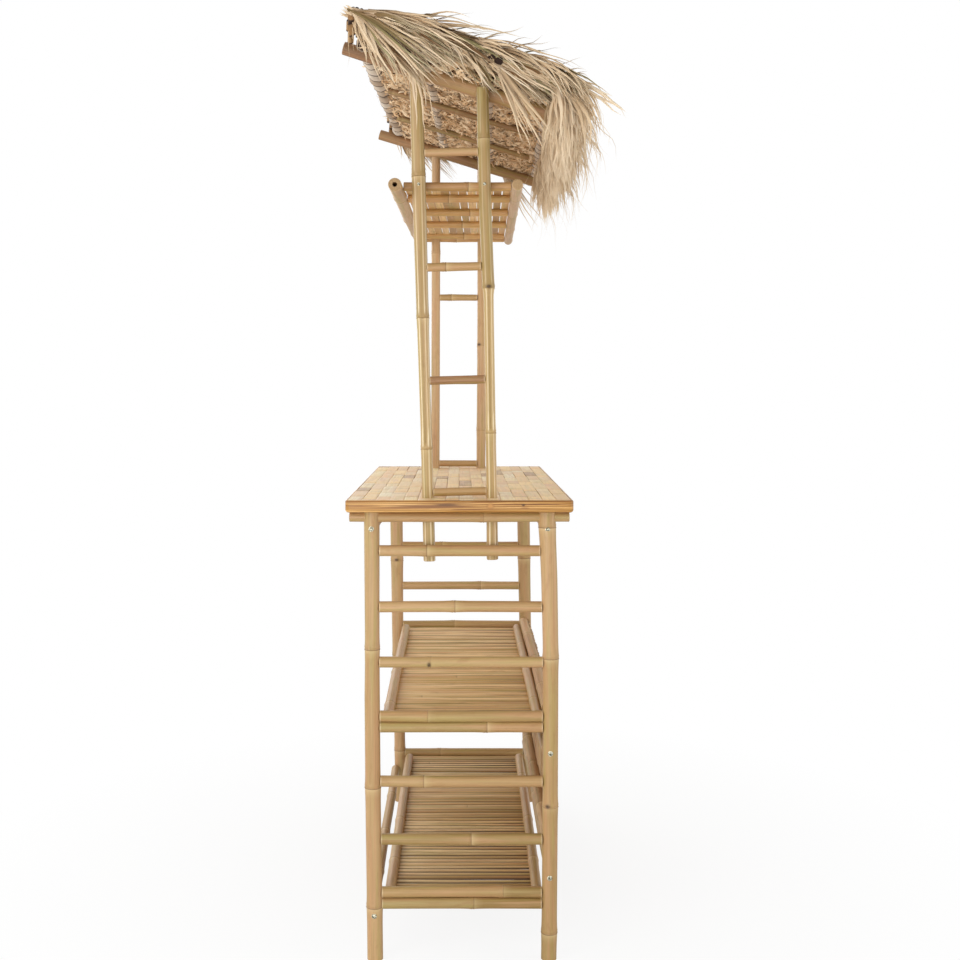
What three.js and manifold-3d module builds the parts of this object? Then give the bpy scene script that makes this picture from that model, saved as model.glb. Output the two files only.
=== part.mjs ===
// Bamboo bar hut: a counter on two ladder-like leg frames, with two shelves and a slatted front
// screen, and above it two post frames that carry a hanging rack and a thatched lean-to roof.
// Millimetres, +Z up. The length runs along X, and the customers stand on the -Y side.

import * as THREE from 'three';
import { mergeVertices } from 'three/addons/utils/BufferGeometryUtils.js';
import Module from 'manifold-3d';

const wasm = await Module();
wasm.setup();

// Fits that every joint shares
const CLEARANCE = 0.3;
const OVERRUN = 6;
const POLE_SIDES = 12;
const TENON_SHOULDER = 1;

// Counter board
const COUNTER_LENGTH = 1200;
const COUNTER_DEPTH = 515;
const COUNTER_HEIGHT = 1050;
const COUNTER_THICKNESS = 28;
const EDGE_BOARD_WIDTH = 20;
const COUNTER_CORNER_RADIUS = 9;

// Leg frames: two legs joined by rungs at each end of the bar
const LEG_INSET = 44;
const LEG_SPACING = 400;
const LEG_TOP_DIAMETER = 41;
const LEG_FOOT_DIAMETER = 37;
const RUNG_DIAMETER = 25;
const RUNG_HEIGHT_SHARES = [0.887, 0.765, 0.645, 0.504, 0.386, 0.26, 0.121];
const TOP_RUNG_DIAMETER = 22;
const TOP_RUNG_DROP = 2.5;
const TOP_RUNG_OVERHANG = 51;

// Long poles that join the two leg frames
const STRETCHER_DIAMETER = 25;
const APRON_HEIGHT_SHARE = 0.936;
const BACK_STRETCHER_HEIGHT_SHARE = 0.099;
const FRONT_STRETCHER_HEIGHT_SHARES = [0.45, 0.181];

// Front screen: upright split-bamboo slats on two long poles
const SCREEN_POLE_DIAMETER = 26;
const SCREEN_POLE_HEIGHT_SHARES = [0.54, 0.257];
const SCREEN_TOP_SHARE = 0.547;
const SCREEN_BOTTOM_SHARE = 0.172;
const SCREEN_SLAT_WIDTH = 30;
const SCREEN_SLAT_GAP = 3;
const SCREEN_SLAT_THICKNESS = 7;
const SCREEN_SLAT_BITE = 1.5;

// Shelves: a rail on a rung at each end, two long rails between them, and cross slats
const SHELF_RUNGS = { upper: 3, lower: 6 };
const SHELF_END_RAIL_DIAMETER = 24.5;
const SHELF_LONG_RAIL_DIAMETER = 24;
const SHELF_RAIL_INSET = 33;
const SHELF_SLAT_WIDTH = 18.6;
const SHELF_SLAT_GAP = 2.4;
const SHELF_SLAT_THICKNESS = 6;
const SHELF_SLAT_DROP = 5.5;
const SHELF_BATTEN_WIDTH = 18;
const SHELF_BATTEN_THICKNESS = 8;
const SHELF_BATTEN_INSET = 9;
const SLAT_BITE = 0.5;

// Post frames: ladders that stand through the counter board
const POST_SPACING = 145;
const BACK_POST_DIAMETER = 32;
const FRONT_POST_DIAMETER = 28;
const POST_TAIL = 144;
const POST_TOP_MARGIN = 3;
const POST_RUNG_DIAMETER = 19.5;
const LOW_POST_RUNG_LIFT = 4;
const POST_RUNG_RISE_SHARES = [0.283, 0.555, 0.831];
const LEFT_LEAN_DEGREES = 1.5;
const RIGHT_LEAN_DEGREES = -0.15;

// Hanging rack between the post frames
const RACK_RISE = 715;
const RACK_WIDTH = 279;
const RACK_FORWARD = 12;
const RACK_POLE_LENGTH = 1150;
const RACK_BACK_POLE_DIAMETER = 30;
const RACK_FRONT_POLE_DIAMETER = 25;
const RACK_BORE_DIAMETER = 11;
const RACK_BORE_DEPTH = 60;
const RACK_END_CROSS_DIAMETER = 21;
const RACK_CROSS_DIAMETER = 17;
const RACK_CROSS_LIFT = 6;
const RACK_CROSS_SHARES = [0.165, 0.43, 0.69];
const RACK_SLAT_WIDTH = 17.5;
const RACK_SLAT_GAP = 3;
const RACK_SLAT_THICKNESS = 6;
const RACK_SLAT_BITE = 1;
const RACK_SLAT_DROP = 1;

// Roof: sloping rafters under a mat of folded palm leaf
const ROOF_RISE = 959;
const ROOF_SLOPE_DEGREES = 17;
const RAFTER_DIAMETER = 26;
const RAFTER_COUNT = 4;
const RAFTER_BACK_LENGTH = 260;
const RAFTER_FRONT_LENGTH = 278;
const INNER_RAFTER_DIAMETER = 22;
const INNER_RAFTER_ROLL_GAP = 12;

// Thatch mat: lengths are measured along the slope, lifts at right angles to it
const MAT_BACK_LENGTH = 272;
const MAT_FRONT_LENGTH = 270;
const MAT_UNDERSIDE = 24;
const MAT_TOP = 114;
const MAT_SKIRT_DROP = 20;
const MAT_SKIRT_WIDTH = 42;
const MAT_SKIRT_MARGIN = 24.8;
const MAT_BACK_OVERHANG = 70;
const MAT_TOP_SHARES = [
  [-1, 0.74], [-0.88, 0.84], [-0.65, 0.95], [-0.3, 1], [0.22, 0.99], [0.67, 0.91], [1, 0.91],
];
const MAT_END_SHARES = [[1, 0.44], [0.96, 0.75], [0.86, 0.96], [0.8, 1]];
const LEAF_ROLL_DIAMETER = 28;
const LEAF_ROLL_COUNT = 4;
const LEAF_ROLL_BACK_DISTANCE = 205;
const LEAF_ROLL_FRONT_DISTANCE = 238;
const MAT_CLEARANCE = 0.5;

// Front fringe: a curtain of leaf tips that hangs from the mat's front edge
const FRINGE_FRONT_DISTANCE = 364;
const FRINGE_DROP = 190;
const FRINGE_END_INSET = 6;
const FRINGE_CROWN_SHARES = [[0.3, 0.2], [0, 0.55]];
const FRINGE_HEM_SHARES = [[0, 0.5], [0.35, 0], [0.95, 0.12]];

// Worked out from the sizes above
const LEG_X = COUNTER_LENGTH / 2 - LEG_INSET;
const LEG_Y = LEG_SPACING / 2;
const SHELF_RAIL_SPACING = LEG_SPACING - 2 * SHELF_RAIL_INSET;
const BOARD_UNDERSIDE = COUNTER_HEIGHT - COUNTER_THICKNESS;
const LEG_LENGTH = BOARD_UNDERSIDE - CLEARANCE;
const TENON_STOP = RUNG_DIAMETER / 2 + TENON_SHOULDER;
const RUNG_HEIGHTS = RUNG_HEIGHT_SHARES.map((share) => share * COUNTER_HEIGHT);
const TOP_RUNG_HEIGHT = BOARD_UNDERSIDE - TOP_RUNG_DROP - TOP_RUNG_DIAMETER / 2;
const APRON_HEIGHT = APRON_HEIGHT_SHARE * COUNTER_HEIGHT;
const BACK_STRETCHER_HEIGHT = BACK_STRETCHER_HEIGHT_SHARE * COUNTER_HEIGHT;
const FRONT_STRETCHER_HEIGHTS = FRONT_STRETCHER_HEIGHT_SHARES.map((share) => share * COUNTER_HEIGHT);
const POST_OUTER_X = LEG_X - RUNG_DIAMETER / 2 - CLEARANCE;
const POST_INNER_X = POST_OUTER_X - BACK_POST_DIAMETER;
const MAT_HALF_LENGTH = POST_OUTER_X + MAT_SKIRT_MARGIN + MAT_SKIRT_WIDTH;
const FRINGE_HALF_LENGTH = MAT_HALF_LENGTH - FRINGE_END_INSET;
const SLOPE = THREE.MathUtils.degToRad(ROOF_SLOPE_DEGREES);
const LEFT_LEAN = THREE.MathUtils.degToRad(LEFT_LEAN_DEGREES);
const RIGHT_LEAN = THREE.MathUtils.degToRad(RIGHT_LEAN_DEGREES);
const SIDES = { left: -1, right: 1 };
const FACES = { front: -1, back: 1 };

// Finishes
const BAMBOO = { color: 0xc8a56c, roughness: 0.5, metalness: 0 };
const BAMBOO_SLAT = { color: 0xb8945a, roughness: 0.6, metalness: 0 };
const PARQUET = { color: 0xdcc29a, roughness: 0.5, metalness: 0 };
const EDGE_BOARD = { color: 0xd09a4e, roughness: 0.45, metalness: 0 };
const PALM_LEAF = { color: 0xc9b48c, roughness: 0.9, metalness: 0 };

function toSolid(geometry) {
  const bare = geometry.clone();
  bare.deleteAttribute('normal');
  bare.deleteAttribute('uv');
  const merged = mergeVertices(bare);
  return new wasm.Manifold(new wasm.Mesh({
    numProp: 3,
    vertProperties: Float32Array.from(merged.attributes.position.array),
    triVerts: Uint32Array.from(merged.index.array),
  }));
}

function toGeometry(solid) {
  const { vertProperties, triVerts } = solid.getMesh();
  const geometry = new THREE.BufferGeometry();
  geometry.setAttribute('position', new THREE.BufferAttribute(vertProperties, 3));
  geometry.setIndex(new THREE.BufferAttribute(triVerts, 1));
  geometry.computeVertexNormals();
  return geometry;
}

function cut(blank, cutters) {
  return toGeometry(cutters.reduce((solid, cutter) => solid.subtract(toSolid(cutter)), toSolid(blank)));
}

function join(pieces) {
  return toGeometry(pieces.slice(1).reduce((solid, piece) => solid.add(toSolid(piece)), toSolid(pieces[0])));
}

// A pole centred on the origin, which may taper from its low end to its high end
function pole(axis, length, diameter, endDiameter = diameter) {
  const geometry = new THREE.CylinderGeometry(endDiameter / 2, diameter / 2, length, POLE_SIDES);
  if (axis === 'x') geometry.rotateZ(-Math.PI / 2);
  if (axis === 'z') geometry.rotateX(Math.PI / 2);
  return geometry;
}

function place(parent, name, geometry, finish, position = [0, 0, 0]) {
  const mesh = new THREE.Mesh(geometry, new THREE.MeshStandardMaterial(finish));
  mesh.name = name;
  mesh.position.set(...position);
  parent.add(mesh);
  return mesh;
}

function outline(points) {
  return new THREE.Shape(points.map(([across, up]) => new THREE.Vector2(across, up)));
}

// An outline in the YZ plane, drawn out along X about the middle
function drawnAlongX(points, length) {
  const geometry = new THREE.ExtrudeGeometry(outline(points), { depth: length, bevelEnabled: false });
  geometry.translate(0, 0, -length / 2);
  geometry.rotateX(Math.PI / 2);
  geometry.rotateZ(Math.PI / 2);
  return geometry;
}

// An outline in the XZ plane, drawn out along Y between two places
function drawnAlongY(points, from, to) {
  const geometry = new THREE.ExtrudeGeometry(outline(points), { depth: to - from, bevelEnabled: false });
  geometry.rotateX(Math.PI / 2);
  geometry.translate(0, to, 0);
  return geometry;
}

function legRadiusAt(height) {
  const share = height / LEG_LENGTH;
  return THREE.MathUtils.lerp(LEG_FOOT_DIAMETER, LEG_TOP_DIAMETER, share) / 2;
}

// How far the leaning post frames carry a piece towards the back, at a rise above the counter
function sway(x, rise) {
  const share = (x / POST_OUTER_X + 1) / 2;
  return rise * THREE.MathUtils.lerp(Math.tan(LEFT_LEAN), Math.tan(RIGHT_LEAN), share);
}

// The turn about Z of a long piece that follows both post frames at a rise
function skew(rise) {
  return Math.atan2(sway(POST_OUTER_X, rise) - sway(-POST_OUTER_X, rise), 2 * POST_OUTER_X);
}

// Evenly spaced centres for as many strips as fit in a span
function stripCentres(span, width, gap) {
  const count = Math.floor((span + gap) / (width + gap));
  const pitch = (span - width) / (count - 1);
  return Array.from({ length: count }, (_, index) => width / 2 - span / 2 + index * pitch);
}

// Counter board with its edge boards

function addCounter(hut, postHoles) {
  const innerLength = COUNTER_LENGTH - 2 * EDGE_BOARD_WIDTH;
  const innerDepth = COUNTER_DEPTH - 2 * EDGE_BOARD_WIDTH;
  const panel = new THREE.BoxGeometry(
    innerLength - 2 * CLEARANCE, innerDepth - 2 * CLEARANCE, COUNTER_THICKNESS);
  panel.translate(0, 0, -COUNTER_THICKNESS / 2);
  place(hut, 'counter_panel', cut(panel, postHoles), PARQUET, [0, 0, COUNTER_HEIGHT]);

  const halfLength = COUNTER_LENGTH / 2;
  const halfDepth = COUNTER_DEPTH / 2;
  const rim = new THREE.Shape();
  rim.moveTo(COUNTER_CORNER_RADIUS - halfLength, -halfDepth);
  rim.lineTo(halfLength - COUNTER_CORNER_RADIUS, -halfDepth);
  rim.quadraticCurveTo(halfLength, -halfDepth, halfLength, COUNTER_CORNER_RADIUS - halfDepth);
  rim.lineTo(halfLength, halfDepth - COUNTER_CORNER_RADIUS);
  rim.quadraticCurveTo(halfLength, halfDepth, halfLength - COUNTER_CORNER_RADIUS, halfDepth);
  rim.lineTo(COUNTER_CORNER_RADIUS - halfLength, halfDepth);
  rim.quadraticCurveTo(-halfLength, halfDepth, -halfLength, halfDepth - COUNTER_CORNER_RADIUS);
  rim.lineTo(-halfLength, COUNTER_CORNER_RADIUS - halfDepth);
  rim.quadraticCurveTo(-halfLength, -halfDepth, COUNTER_CORNER_RADIUS - halfLength, -halfDepth);
  const opening = [[-1, -1], [-1, 1], [1, 1], [1, -1]].map(([alongX, alongY]) =>
    new THREE.Vector2(alongX * innerLength / 2, alongY * innerDepth / 2));
  rim.holes.push(new THREE.Path(opening));
  const edge = new THREE.ExtrudeGeometry(rim, {
    depth: COUNTER_THICKNESS, bevelEnabled: false, curveSegments: 4,
  });
  place(hut, 'counter_edge_frame', edge, EDGE_BOARD, [0, 0, BOARD_UNDERSIDE]);
}

// Leg frames

// A blind hole in a leg for the end of a pole that comes in from a side along X or Y
function mortise(axis, side, height, diameter) {
  const cutter = pole(axis, LEG_TOP_DIAMETER, diameter + 2 * CLEARANCE);
  const middle = side * (TENON_STOP - CLEARANCE + LEG_TOP_DIAMETER / 2);
  cutter.translate(axis === 'x' ? middle : 0, axis === 'y' ? middle : 0, height);
  return cutter;
}

function legGeometry(side, face) {
  const blank = pole('z', LEG_LENGTH, LEG_FOOT_DIAMETER, LEG_TOP_DIAMETER);
  blank.translate(0, 0, LEG_LENGTH / 2);
  const through = pole('y', LEG_TOP_DIAMETER + 2 * OVERRUN, TOP_RUNG_DIAMETER + 2 * CLEARANCE);
  through.translate(0, 0, TOP_RUNG_HEIGHT);
  const lowPoleHeights = face === FACES.front ? FRONT_STRETCHER_HEIGHTS : [BACK_STRETCHER_HEIGHT];
  const longPoleHeights = [APRON_HEIGHT, ...lowPoleHeights];
  return cut(blank, [
    through,
    ...RUNG_HEIGHTS.map((height) => mortise('y', -face, height, RUNG_DIAMETER)),
    ...longPoleHeights.map((height) => mortise('x', -side, height, STRETCHER_DIAMETER)),
  ]);
}

function addLegFrame(hut, sideName) {
  const side = SIDES[sideName];
  for (const [faceName, face] of Object.entries(FACES)) {
    place(hut, `leg_${sideName}_${faceName}`, legGeometry(side, face), BAMBOO,
      [side * LEG_X, face * LEG_Y, 0]);
  }
  RUNG_HEIGHTS.forEach((height, index) => {
    place(hut, `leg_rung_${sideName}_${index + 1}`,
      pole('y', LEG_SPACING - 2 * TENON_STOP, RUNG_DIAMETER), BAMBOO, [side * LEG_X, 0, height]);
  });
  place(hut, `top_rung_${sideName}`,
    pole('y', LEG_SPACING + 2 * TOP_RUNG_OVERHANG, TOP_RUNG_DIAMETER), BAMBOO,
    [side * LEG_X, 0, TOP_RUNG_HEIGHT]);
}

function addLongPoles(hut) {
  const length = 2 * (LEG_X - TENON_STOP);
  const stretcher = (name, face, height) =>
    place(hut, name, pole('x', length, STRETCHER_DIAMETER), BAMBOO, [0, face * LEG_Y, height]);
  stretcher('apron_front', FACES.front, APRON_HEIGHT);
  stretcher('apron_back', FACES.back, APRON_HEIGHT);
  stretcher('stretcher_back', FACES.back, BACK_STRETCHER_HEIGHT);
  stretcher('stretcher_front_upper', FACES.front, FRONT_STRETCHER_HEIGHTS[0]);
  stretcher('stretcher_front_lower', FACES.front, FRONT_STRETCHER_HEIGHTS[1]);
}

// Front screen

function addFrontScreen(hut) {
  const slatBack = LEG_Y + STRETCHER_DIAMETER / 2 + CLEARANCE;
  const poleY = slatBack + SCREEN_SLAT_BITE - SCREEN_POLE_DIAMETER / 2;
  const top = SCREEN_TOP_SHARE * COUNTER_HEIGHT;
  const bottom = SCREEN_BOTTOM_SHARE * COUNTER_HEIGHT;
  const poles = SCREEN_POLE_HEIGHT_SHARES.map((share) => {
    const height = share * COUNTER_HEIGHT;
    const bar = pole('x', 2 * (LEG_X - legRadiusAt(height) - CLEARANCE), SCREEN_POLE_DIAMETER);
    bar.translate(0, -poleY, height);
    return bar;
  });
  const span = 2 * (LEG_X - LEG_TOP_DIAMETER / 2 - CLEARANCE);
  const slats = stripCentres(span, SCREEN_SLAT_WIDTH, SCREEN_SLAT_GAP).map((centre) => {
    const slat = new THREE.BoxGeometry(SCREEN_SLAT_WIDTH, SCREEN_SLAT_THICKNESS, top - bottom);
    slat.translate(centre, -slatBack - SCREEN_SLAT_THICKNESS / 2, (top + bottom) / 2);
    return slat;
  });
  place(hut, 'front_screen', join([...poles, ...slats]), BAMBOO_SLAT);
}

// Shelves

function addShelf(hut, shelfName) {
  const rungHeight = RUNG_HEIGHTS[SHELF_RUNGS[shelfName]];
  const railHeight = rungHeight + RUNG_DIAMETER / 2 + CLEARANCE + SHELF_END_RAIL_DIAMETER / 2;
  const endRailLength = LEG_SPACING - 2 * (legRadiusAt(railHeight) + CLEARANCE);
  for (const [sideName, side] of Object.entries(SIDES)) {
    place(hut, `${shelfName}_shelf_end_rail_${sideName}`,
      pole('y', endRailLength, SHELF_END_RAIL_DIAMETER), BAMBOO, [side * LEG_X, 0, railHeight]);
  }
  const innerLength = 2 * (LEG_X - SHELF_END_RAIL_DIAMETER / 2 - CLEARANCE);
  for (const [faceName, face] of Object.entries(FACES)) {
    place(hut, `${shelfName}_shelf_rail_${faceName}`,
      pole('x', innerLength, SHELF_LONG_RAIL_DIAMETER), BAMBOO,
      [0, face * SHELF_RAIL_SPACING / 2, railHeight]);
  }
  const slatTop = -SHELF_SLAT_DROP;
  const railReach = Math.sqrt((SHELF_LONG_RAIL_DIAMETER / 2) ** 2 - slatTop ** 2);
  const slatLength = SHELF_RAIL_SPACING - 2 * (railReach + CLEARANCE);
  const slats = stripCentres(innerLength, SHELF_SLAT_WIDTH, SHELF_SLAT_GAP).map((centre) => {
    const slat = new THREE.BoxGeometry(SHELF_SLAT_WIDTH, slatLength, SHELF_SLAT_THICKNESS);
    slat.translate(centre, 0, slatTop - SHELF_SLAT_THICKNESS / 2);
    return slat;
  });
  const battenY = slatLength / 2 - SHELF_BATTEN_INSET - SHELF_BATTEN_WIDTH / 2;
  const battens = Object.values(FACES).map((face) => {
    const batten = new THREE.BoxGeometry(innerLength, SHELF_BATTEN_WIDTH, SHELF_BATTEN_THICKNESS);
    const battenTop = slatTop - SHELF_SLAT_THICKNESS + SLAT_BITE;
    batten.translate(0, face * battenY, battenTop - SHELF_BATTEN_THICKNESS / 2);
    return batten;
  });
  place(hut, `${shelfName}_shelf_slats`, join([...battens, ...slats]), BAMBOO_SLAT, [0, 0, railHeight]);
}

// Post frames

// The two posts of a frame, in the frame's own upright axes at the counter's top
function postSizes(side) {
  const slopeLift = RAFTER_DIAMETER / 2 / Math.cos(SLOPE);
  const diameters = { back: BACK_POST_DIAMETER, front: FRONT_POST_DIAMETER };
  return Object.entries(diameters).map(([faceName, diameter]) => {
    const y = FACES[faceName] * POST_SPACING / 2;
    const x = -side * diameter / 2;
    const top = ROOF_RISE + slopeLift + (y - diameter / 2) * Math.tan(SLOPE) - POST_TOP_MARGIN;
    return { faceName, diameter, x, y, top };
  });
}

function postFrameGroup(side) {
  const frame = new THREE.Group();
  frame.position.set(side * POST_OUTER_X, 0, 0);
  frame.rotation.x = side === SIDES.left ? -LEFT_LEAN : -RIGHT_LEAN;
  frame.updateMatrix();
  return frame;
}

function postHoles() {
  return Object.values(SIDES).flatMap((side) => postSizes(side).map(({ diameter, x, y }) => {
    const hole = pole('z', COUNTER_THICKNESS + 2 * OVERRUN, diameter + 2 * CLEARANCE);
    hole.translate(x, y, -COUNTER_THICKNESS / 2);
    hole.applyMatrix4(postFrameGroup(side).matrix);
    return hole;
  }));
}

function addPostFrame(upper, sideName) {
  const side = SIDES[sideName];
  const frame = postFrameGroup(side);
  const lowRung = POST_RUNG_DIAMETER / 2 + LOW_POST_RUNG_LIFT;
  const rises = [lowRung, ...POST_RUNG_RISE_SHARES.map((share) => share * ROOF_RISE)];
  const rungStop = POST_RUNG_DIAMETER / 2 + TENON_SHOULDER;
  const rungX = -side * (BACK_POST_DIAMETER + FRONT_POST_DIAMETER) / 4;
  for (const { faceName, diameter, x, y, top } of postSizes(side)) {
    const blank = pole('z', top + POST_TAIL, diameter);
    blank.translate(0, 0, (top - POST_TAIL) / 2);
    const sockets = rises.map((rise) => {
      const socket = pole('y', diameter, POST_RUNG_DIAMETER + 2 * CLEARANCE);
      const middle = -FACES[faceName] * (rungStop - CLEARANCE + diameter / 2);
      socket.translate(rungX - x, middle, rise);
      return socket;
    });
    place(frame, `post_${sideName}_${faceName}`, cut(blank, sockets), BAMBOO, [x, y, 0]);
  }
  rises.forEach((rise, index) => {
    place(frame, `post_rung_${sideName}_${index + 1}`,
      pole('y', POST_SPACING - 2 * rungStop, POST_RUNG_DIAMETER), BAMBOO, [rungX, 0, rise]);
  });
  upper.add(frame);
}

// Hanging rack

function addRack(upper) {
  const turn = skew(RACK_RISE);
  const middleY = sway(0, RACK_RISE) - RACK_FORWARD;
  const backPole = pole('x', RACK_POLE_LENGTH, RACK_BACK_POLE_DIAMETER);
  const bore = pole('x', RACK_BORE_DEPTH + OVERRUN, RACK_BORE_DIAMETER);
  bore.translate((RACK_BORE_DEPTH - OVERRUN - RACK_POLE_LENGTH) / 2, 0, 0);
  place(upper, 'rack_pole_back', cut(backPole, [bore]), BAMBOO,
    [0, middleY + RACK_WIDTH / 2, RACK_RISE]).rotation.z = turn;
  place(upper, 'rack_pole_front', pole('x', RACK_POLE_LENGTH, RACK_FRONT_POLE_DIAMETER), BAMBOO,
    [0, middleY - RACK_WIDTH / 2, RACK_RISE]).rotation.z = turn;

  const crossTop = RACK_CROSS_LIFT + RACK_END_CROSS_DIAMETER / 2;
  const endGap = CLEARANCE + RACK_END_CROSS_DIAMETER * Math.abs(Math.tan(turn));
  const deckBack = RACK_WIDTH / 2 - RACK_BACK_POLE_DIAMETER / 2 - endGap;
  const deckFront = RACK_FRONT_POLE_DIAMETER / 2 - RACK_WIDTH / 2 + endGap;
  const endX = POST_INNER_X - CLEARANCE - RACK_END_CROSS_DIAMETER / 2;
  const outerX = POST_OUTER_X + CLEARANCE + RACK_CROSS_DIAMETER / 2;
  const slatTop = crossTop - RACK_SLAT_DROP;
  const crossPole = (x, diameter, top) => {
    const geometry = pole('y', deckBack - deckFront, diameter);
    const y = (deckBack + deckFront) / 2 + sway(x, RACK_RISE) - sway(0, RACK_RISE);
    geometry.translate(x, y, top - diameter / 2);
    return geometry;
  };
  const underSlats = (x) => crossPole(
    x, RACK_CROSS_DIAMETER, slatTop - RACK_SLAT_THICKNESS + RACK_SLAT_BITE);
  const crossPoles = [
    crossPole(-endX, RACK_END_CROSS_DIAMETER, crossTop),
    ...RACK_CROSS_SHARES.map((share) => underSlats((2 * share - 1) * endX)),
    crossPole(endX, RACK_END_CROSS_DIAMETER, crossTop),
    underSlats(outerX),
  ];
  const slats = stripCentres(deckBack - deckFront, RACK_SLAT_WIDTH, RACK_SLAT_GAP).map((centre) => {
    const y = centre + (deckBack + deckFront) / 2;
    const postRoom = RACK_SLAT_WIDTH / 2 + BACK_POST_DIAMETER / 2 + OVERRUN;
    const blocked = Object.values(FACES).some((face) => {
      const postY = RACK_FORWARD + face * POST_SPACING / 2;
      return Math.abs(y - postY) < postRoom;
    });
    const far = blocked ? endX : outerX;
    const slat = new THREE.BoxGeometry(endX + far, RACK_SLAT_WIDTH, RACK_SLAT_THICKNESS);
    slat.translate((far - endX) / 2, y, slatTop - RACK_SLAT_THICKNESS / 2);
    slat.rotateZ(turn);
    return slat;
  });
  place(upper, 'rack_deck', join([...crossPoles, ...slats]), BAMBOO_SLAT, [0, middleY, RACK_RISE]);
}

// Roof

// The outer rafters pass under the whole mat, and the inner ones lie between two leaf rolls
function addRafters(upper) {
  const endX = POST_INNER_X - CLEARANCE - RAFTER_DIAMETER / 2;
  const last = RAFTER_COUNT - 1;
  const rollGap = LEAF_ROLL_DIAMETER / 2 + INNER_RAFTER_ROLL_GAP;
  const outer = {
    diameter: RAFTER_DIAMETER, back: RAFTER_BACK_LENGTH, front: RAFTER_FRONT_LENGTH,
  };
  const inner = {
    diameter: INNER_RAFTER_DIAMETER,
    back: LEAF_ROLL_BACK_DISTANCE - rollGap,
    front: LEAF_ROLL_FRONT_DISTANCE - rollGap,
  };
  for (let index = 0; index < RAFTER_COUNT; index += 1) {
    const { diameter, back, front } = index % last === 0 ? outer : inner;
    const x = THREE.MathUtils.lerp(-endX, endX, index / last);
    const geometry = pole('y', back + front, diameter);
    geometry.translate(0, (back - front) / 2, (RAFTER_DIAMETER - diameter) / 2);
    const position = [x, sway(x, ROOF_RISE), ROOF_RISE];
    place(upper, `rafter_${index + 1}`, geometry, BAMBOO, position).rotation.x = SLOPE;
  }
}

// The mat is where a long section, seen from the end, meets a cross section, seen from the front
function thatchMat() {
  const alongSlope = (share) => -share * (share < 0 ? MAT_BACK_LENGTH : MAT_FRONT_LENGTH);
  const longSection = drawnAlongX([
    [MAT_BACK_LENGTH - MAT_BACK_OVERHANG, -MAT_SKIRT_DROP],
    ...MAT_TOP_SHARES.map(([share, lift]) => [alongSlope(share), lift * MAT_TOP]),
    [-MAT_FRONT_LENGTH, -MAT_SKIRT_DROP],
  ].reverse(), 2 * MAT_HALF_LENGTH);
  const skirtInner = MAT_HALF_LENGTH - MAT_SKIRT_WIDTH;
  const endPoint = ([share, lift]) => [share * MAT_HALF_LENGTH, lift * MAT_TOP];
  const rightEdge = [
    [skirtInner, MAT_UNDERSIDE],
    [MAT_HALF_LENGTH - MAT_SKIRT_WIDTH / 2, -MAT_SKIRT_DROP],
    [MAT_HALF_LENGTH, -MAT_SKIRT_DROP],
    ...MAT_END_SHARES.map(endPoint),
  ];
  const leftEdge = rightEdge.map(([x, lift]) => [-x, lift]).reverse();
  const crossSection = drawnAlongY(
    [...rightEdge, ...leftEdge], -MAT_FRONT_LENGTH - OVERRUN, MAT_BACK_LENGTH + OVERRUN);
  const body = toSolid(longSection).intersect(toSolid(crossSection));
  const rollLift = RAFTER_DIAMETER / 2 + MAT_CLEARANCE + LEAF_ROLL_DIAMETER / 2;
  const rolls = Array.from({ length: LEAF_ROLL_COUNT }, (_, index) => {
    const roll = pole('x', 2 * skirtInner, LEAF_ROLL_DIAMETER);
    const share = index / (LEAF_ROLL_COUNT - 1);
    const reach = THREE.MathUtils.lerp(LEAF_ROLL_BACK_DISTANCE, -LEAF_ROLL_FRONT_DISTANCE, share);
    roll.translate(0, reach, rollLift);
    return roll;
  });
  return toGeometry(rolls.reduce((solid, roll) => solid.add(toSolid(roll)), body));
}

// A point given along and off the slope, as a place across the bar and a height
function offSlope(reach, lift) {
  const across = -reach * Math.cos(SLOPE) - lift * Math.sin(SLOPE);
  const up = lift * Math.cos(SLOPE) - reach * Math.sin(SLOPE);
  return [across, up];
}

function frontFringe() {
  const seam = MAT_FRONT_LENGTH + CLEARANCE;
  const headTop = MAT_TOP_SHARES[MAT_TOP_SHARES.length - 1][1] * MAT_TOP;
  const underside = RAFTER_DIAMETER / 2 + MAT_CLEARANCE;
  const [rafterEnd] = offSlope(RAFTER_FRONT_LENGTH, RAFTER_DIAMETER / 2);
  const innerY = rafterEnd - CLEARANCE;
  const innerReach = (-innerY - underside * Math.sin(SLOPE)) / Math.cos(SLOPE);
  const [, innerTop] = offSlope(innerReach, underside);
  const [, seamTop] = offSlope(seam, headTop);
  const thickness = FRINGE_FRONT_DISTANCE + innerY;
  const fringeY = (inward) => thickness * inward - FRINGE_FRONT_DISTANCE;
  const points = [
    offSlope(seam, underside),
    offSlope(seam, headTop),
    ...FRINGE_CROWN_SHARES.map(([inward, down]) => [fringeY(inward), seamTop - thickness * down]),
    ...FRINGE_HEM_SHARES.map(([inward, up]) => [fringeY(inward), thickness * up - FRINGE_DROP]),
    [innerY, innerTop],
  ];
  return drawnAlongX(points.reverse(), 2 * FRINGE_HALF_LENGTH);
}

function addThatch(upper) {
  const turned = new THREE.Group();
  turned.position.set(0, sway(0, ROOF_RISE), ROOF_RISE);
  turned.rotation.z = skew(ROOF_RISE);
  const mat = place(turned, 'thatch_mat', thatchMat(), PALM_LEAF);
  mat.rotation.x = SLOPE;
  place(turned, 'front_fringe', frontFringe(), PALM_LEAF);
  upper.add(turned);
}

const hut = new THREE.Group();
addCounter(hut, postHoles());
addLegFrame(hut, 'left');
addLegFrame(hut, 'right');
addLongPoles(hut);
addFrontScreen(hut);
addShelf(hut, 'upper');
addShelf(hut, 'lower');

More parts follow.
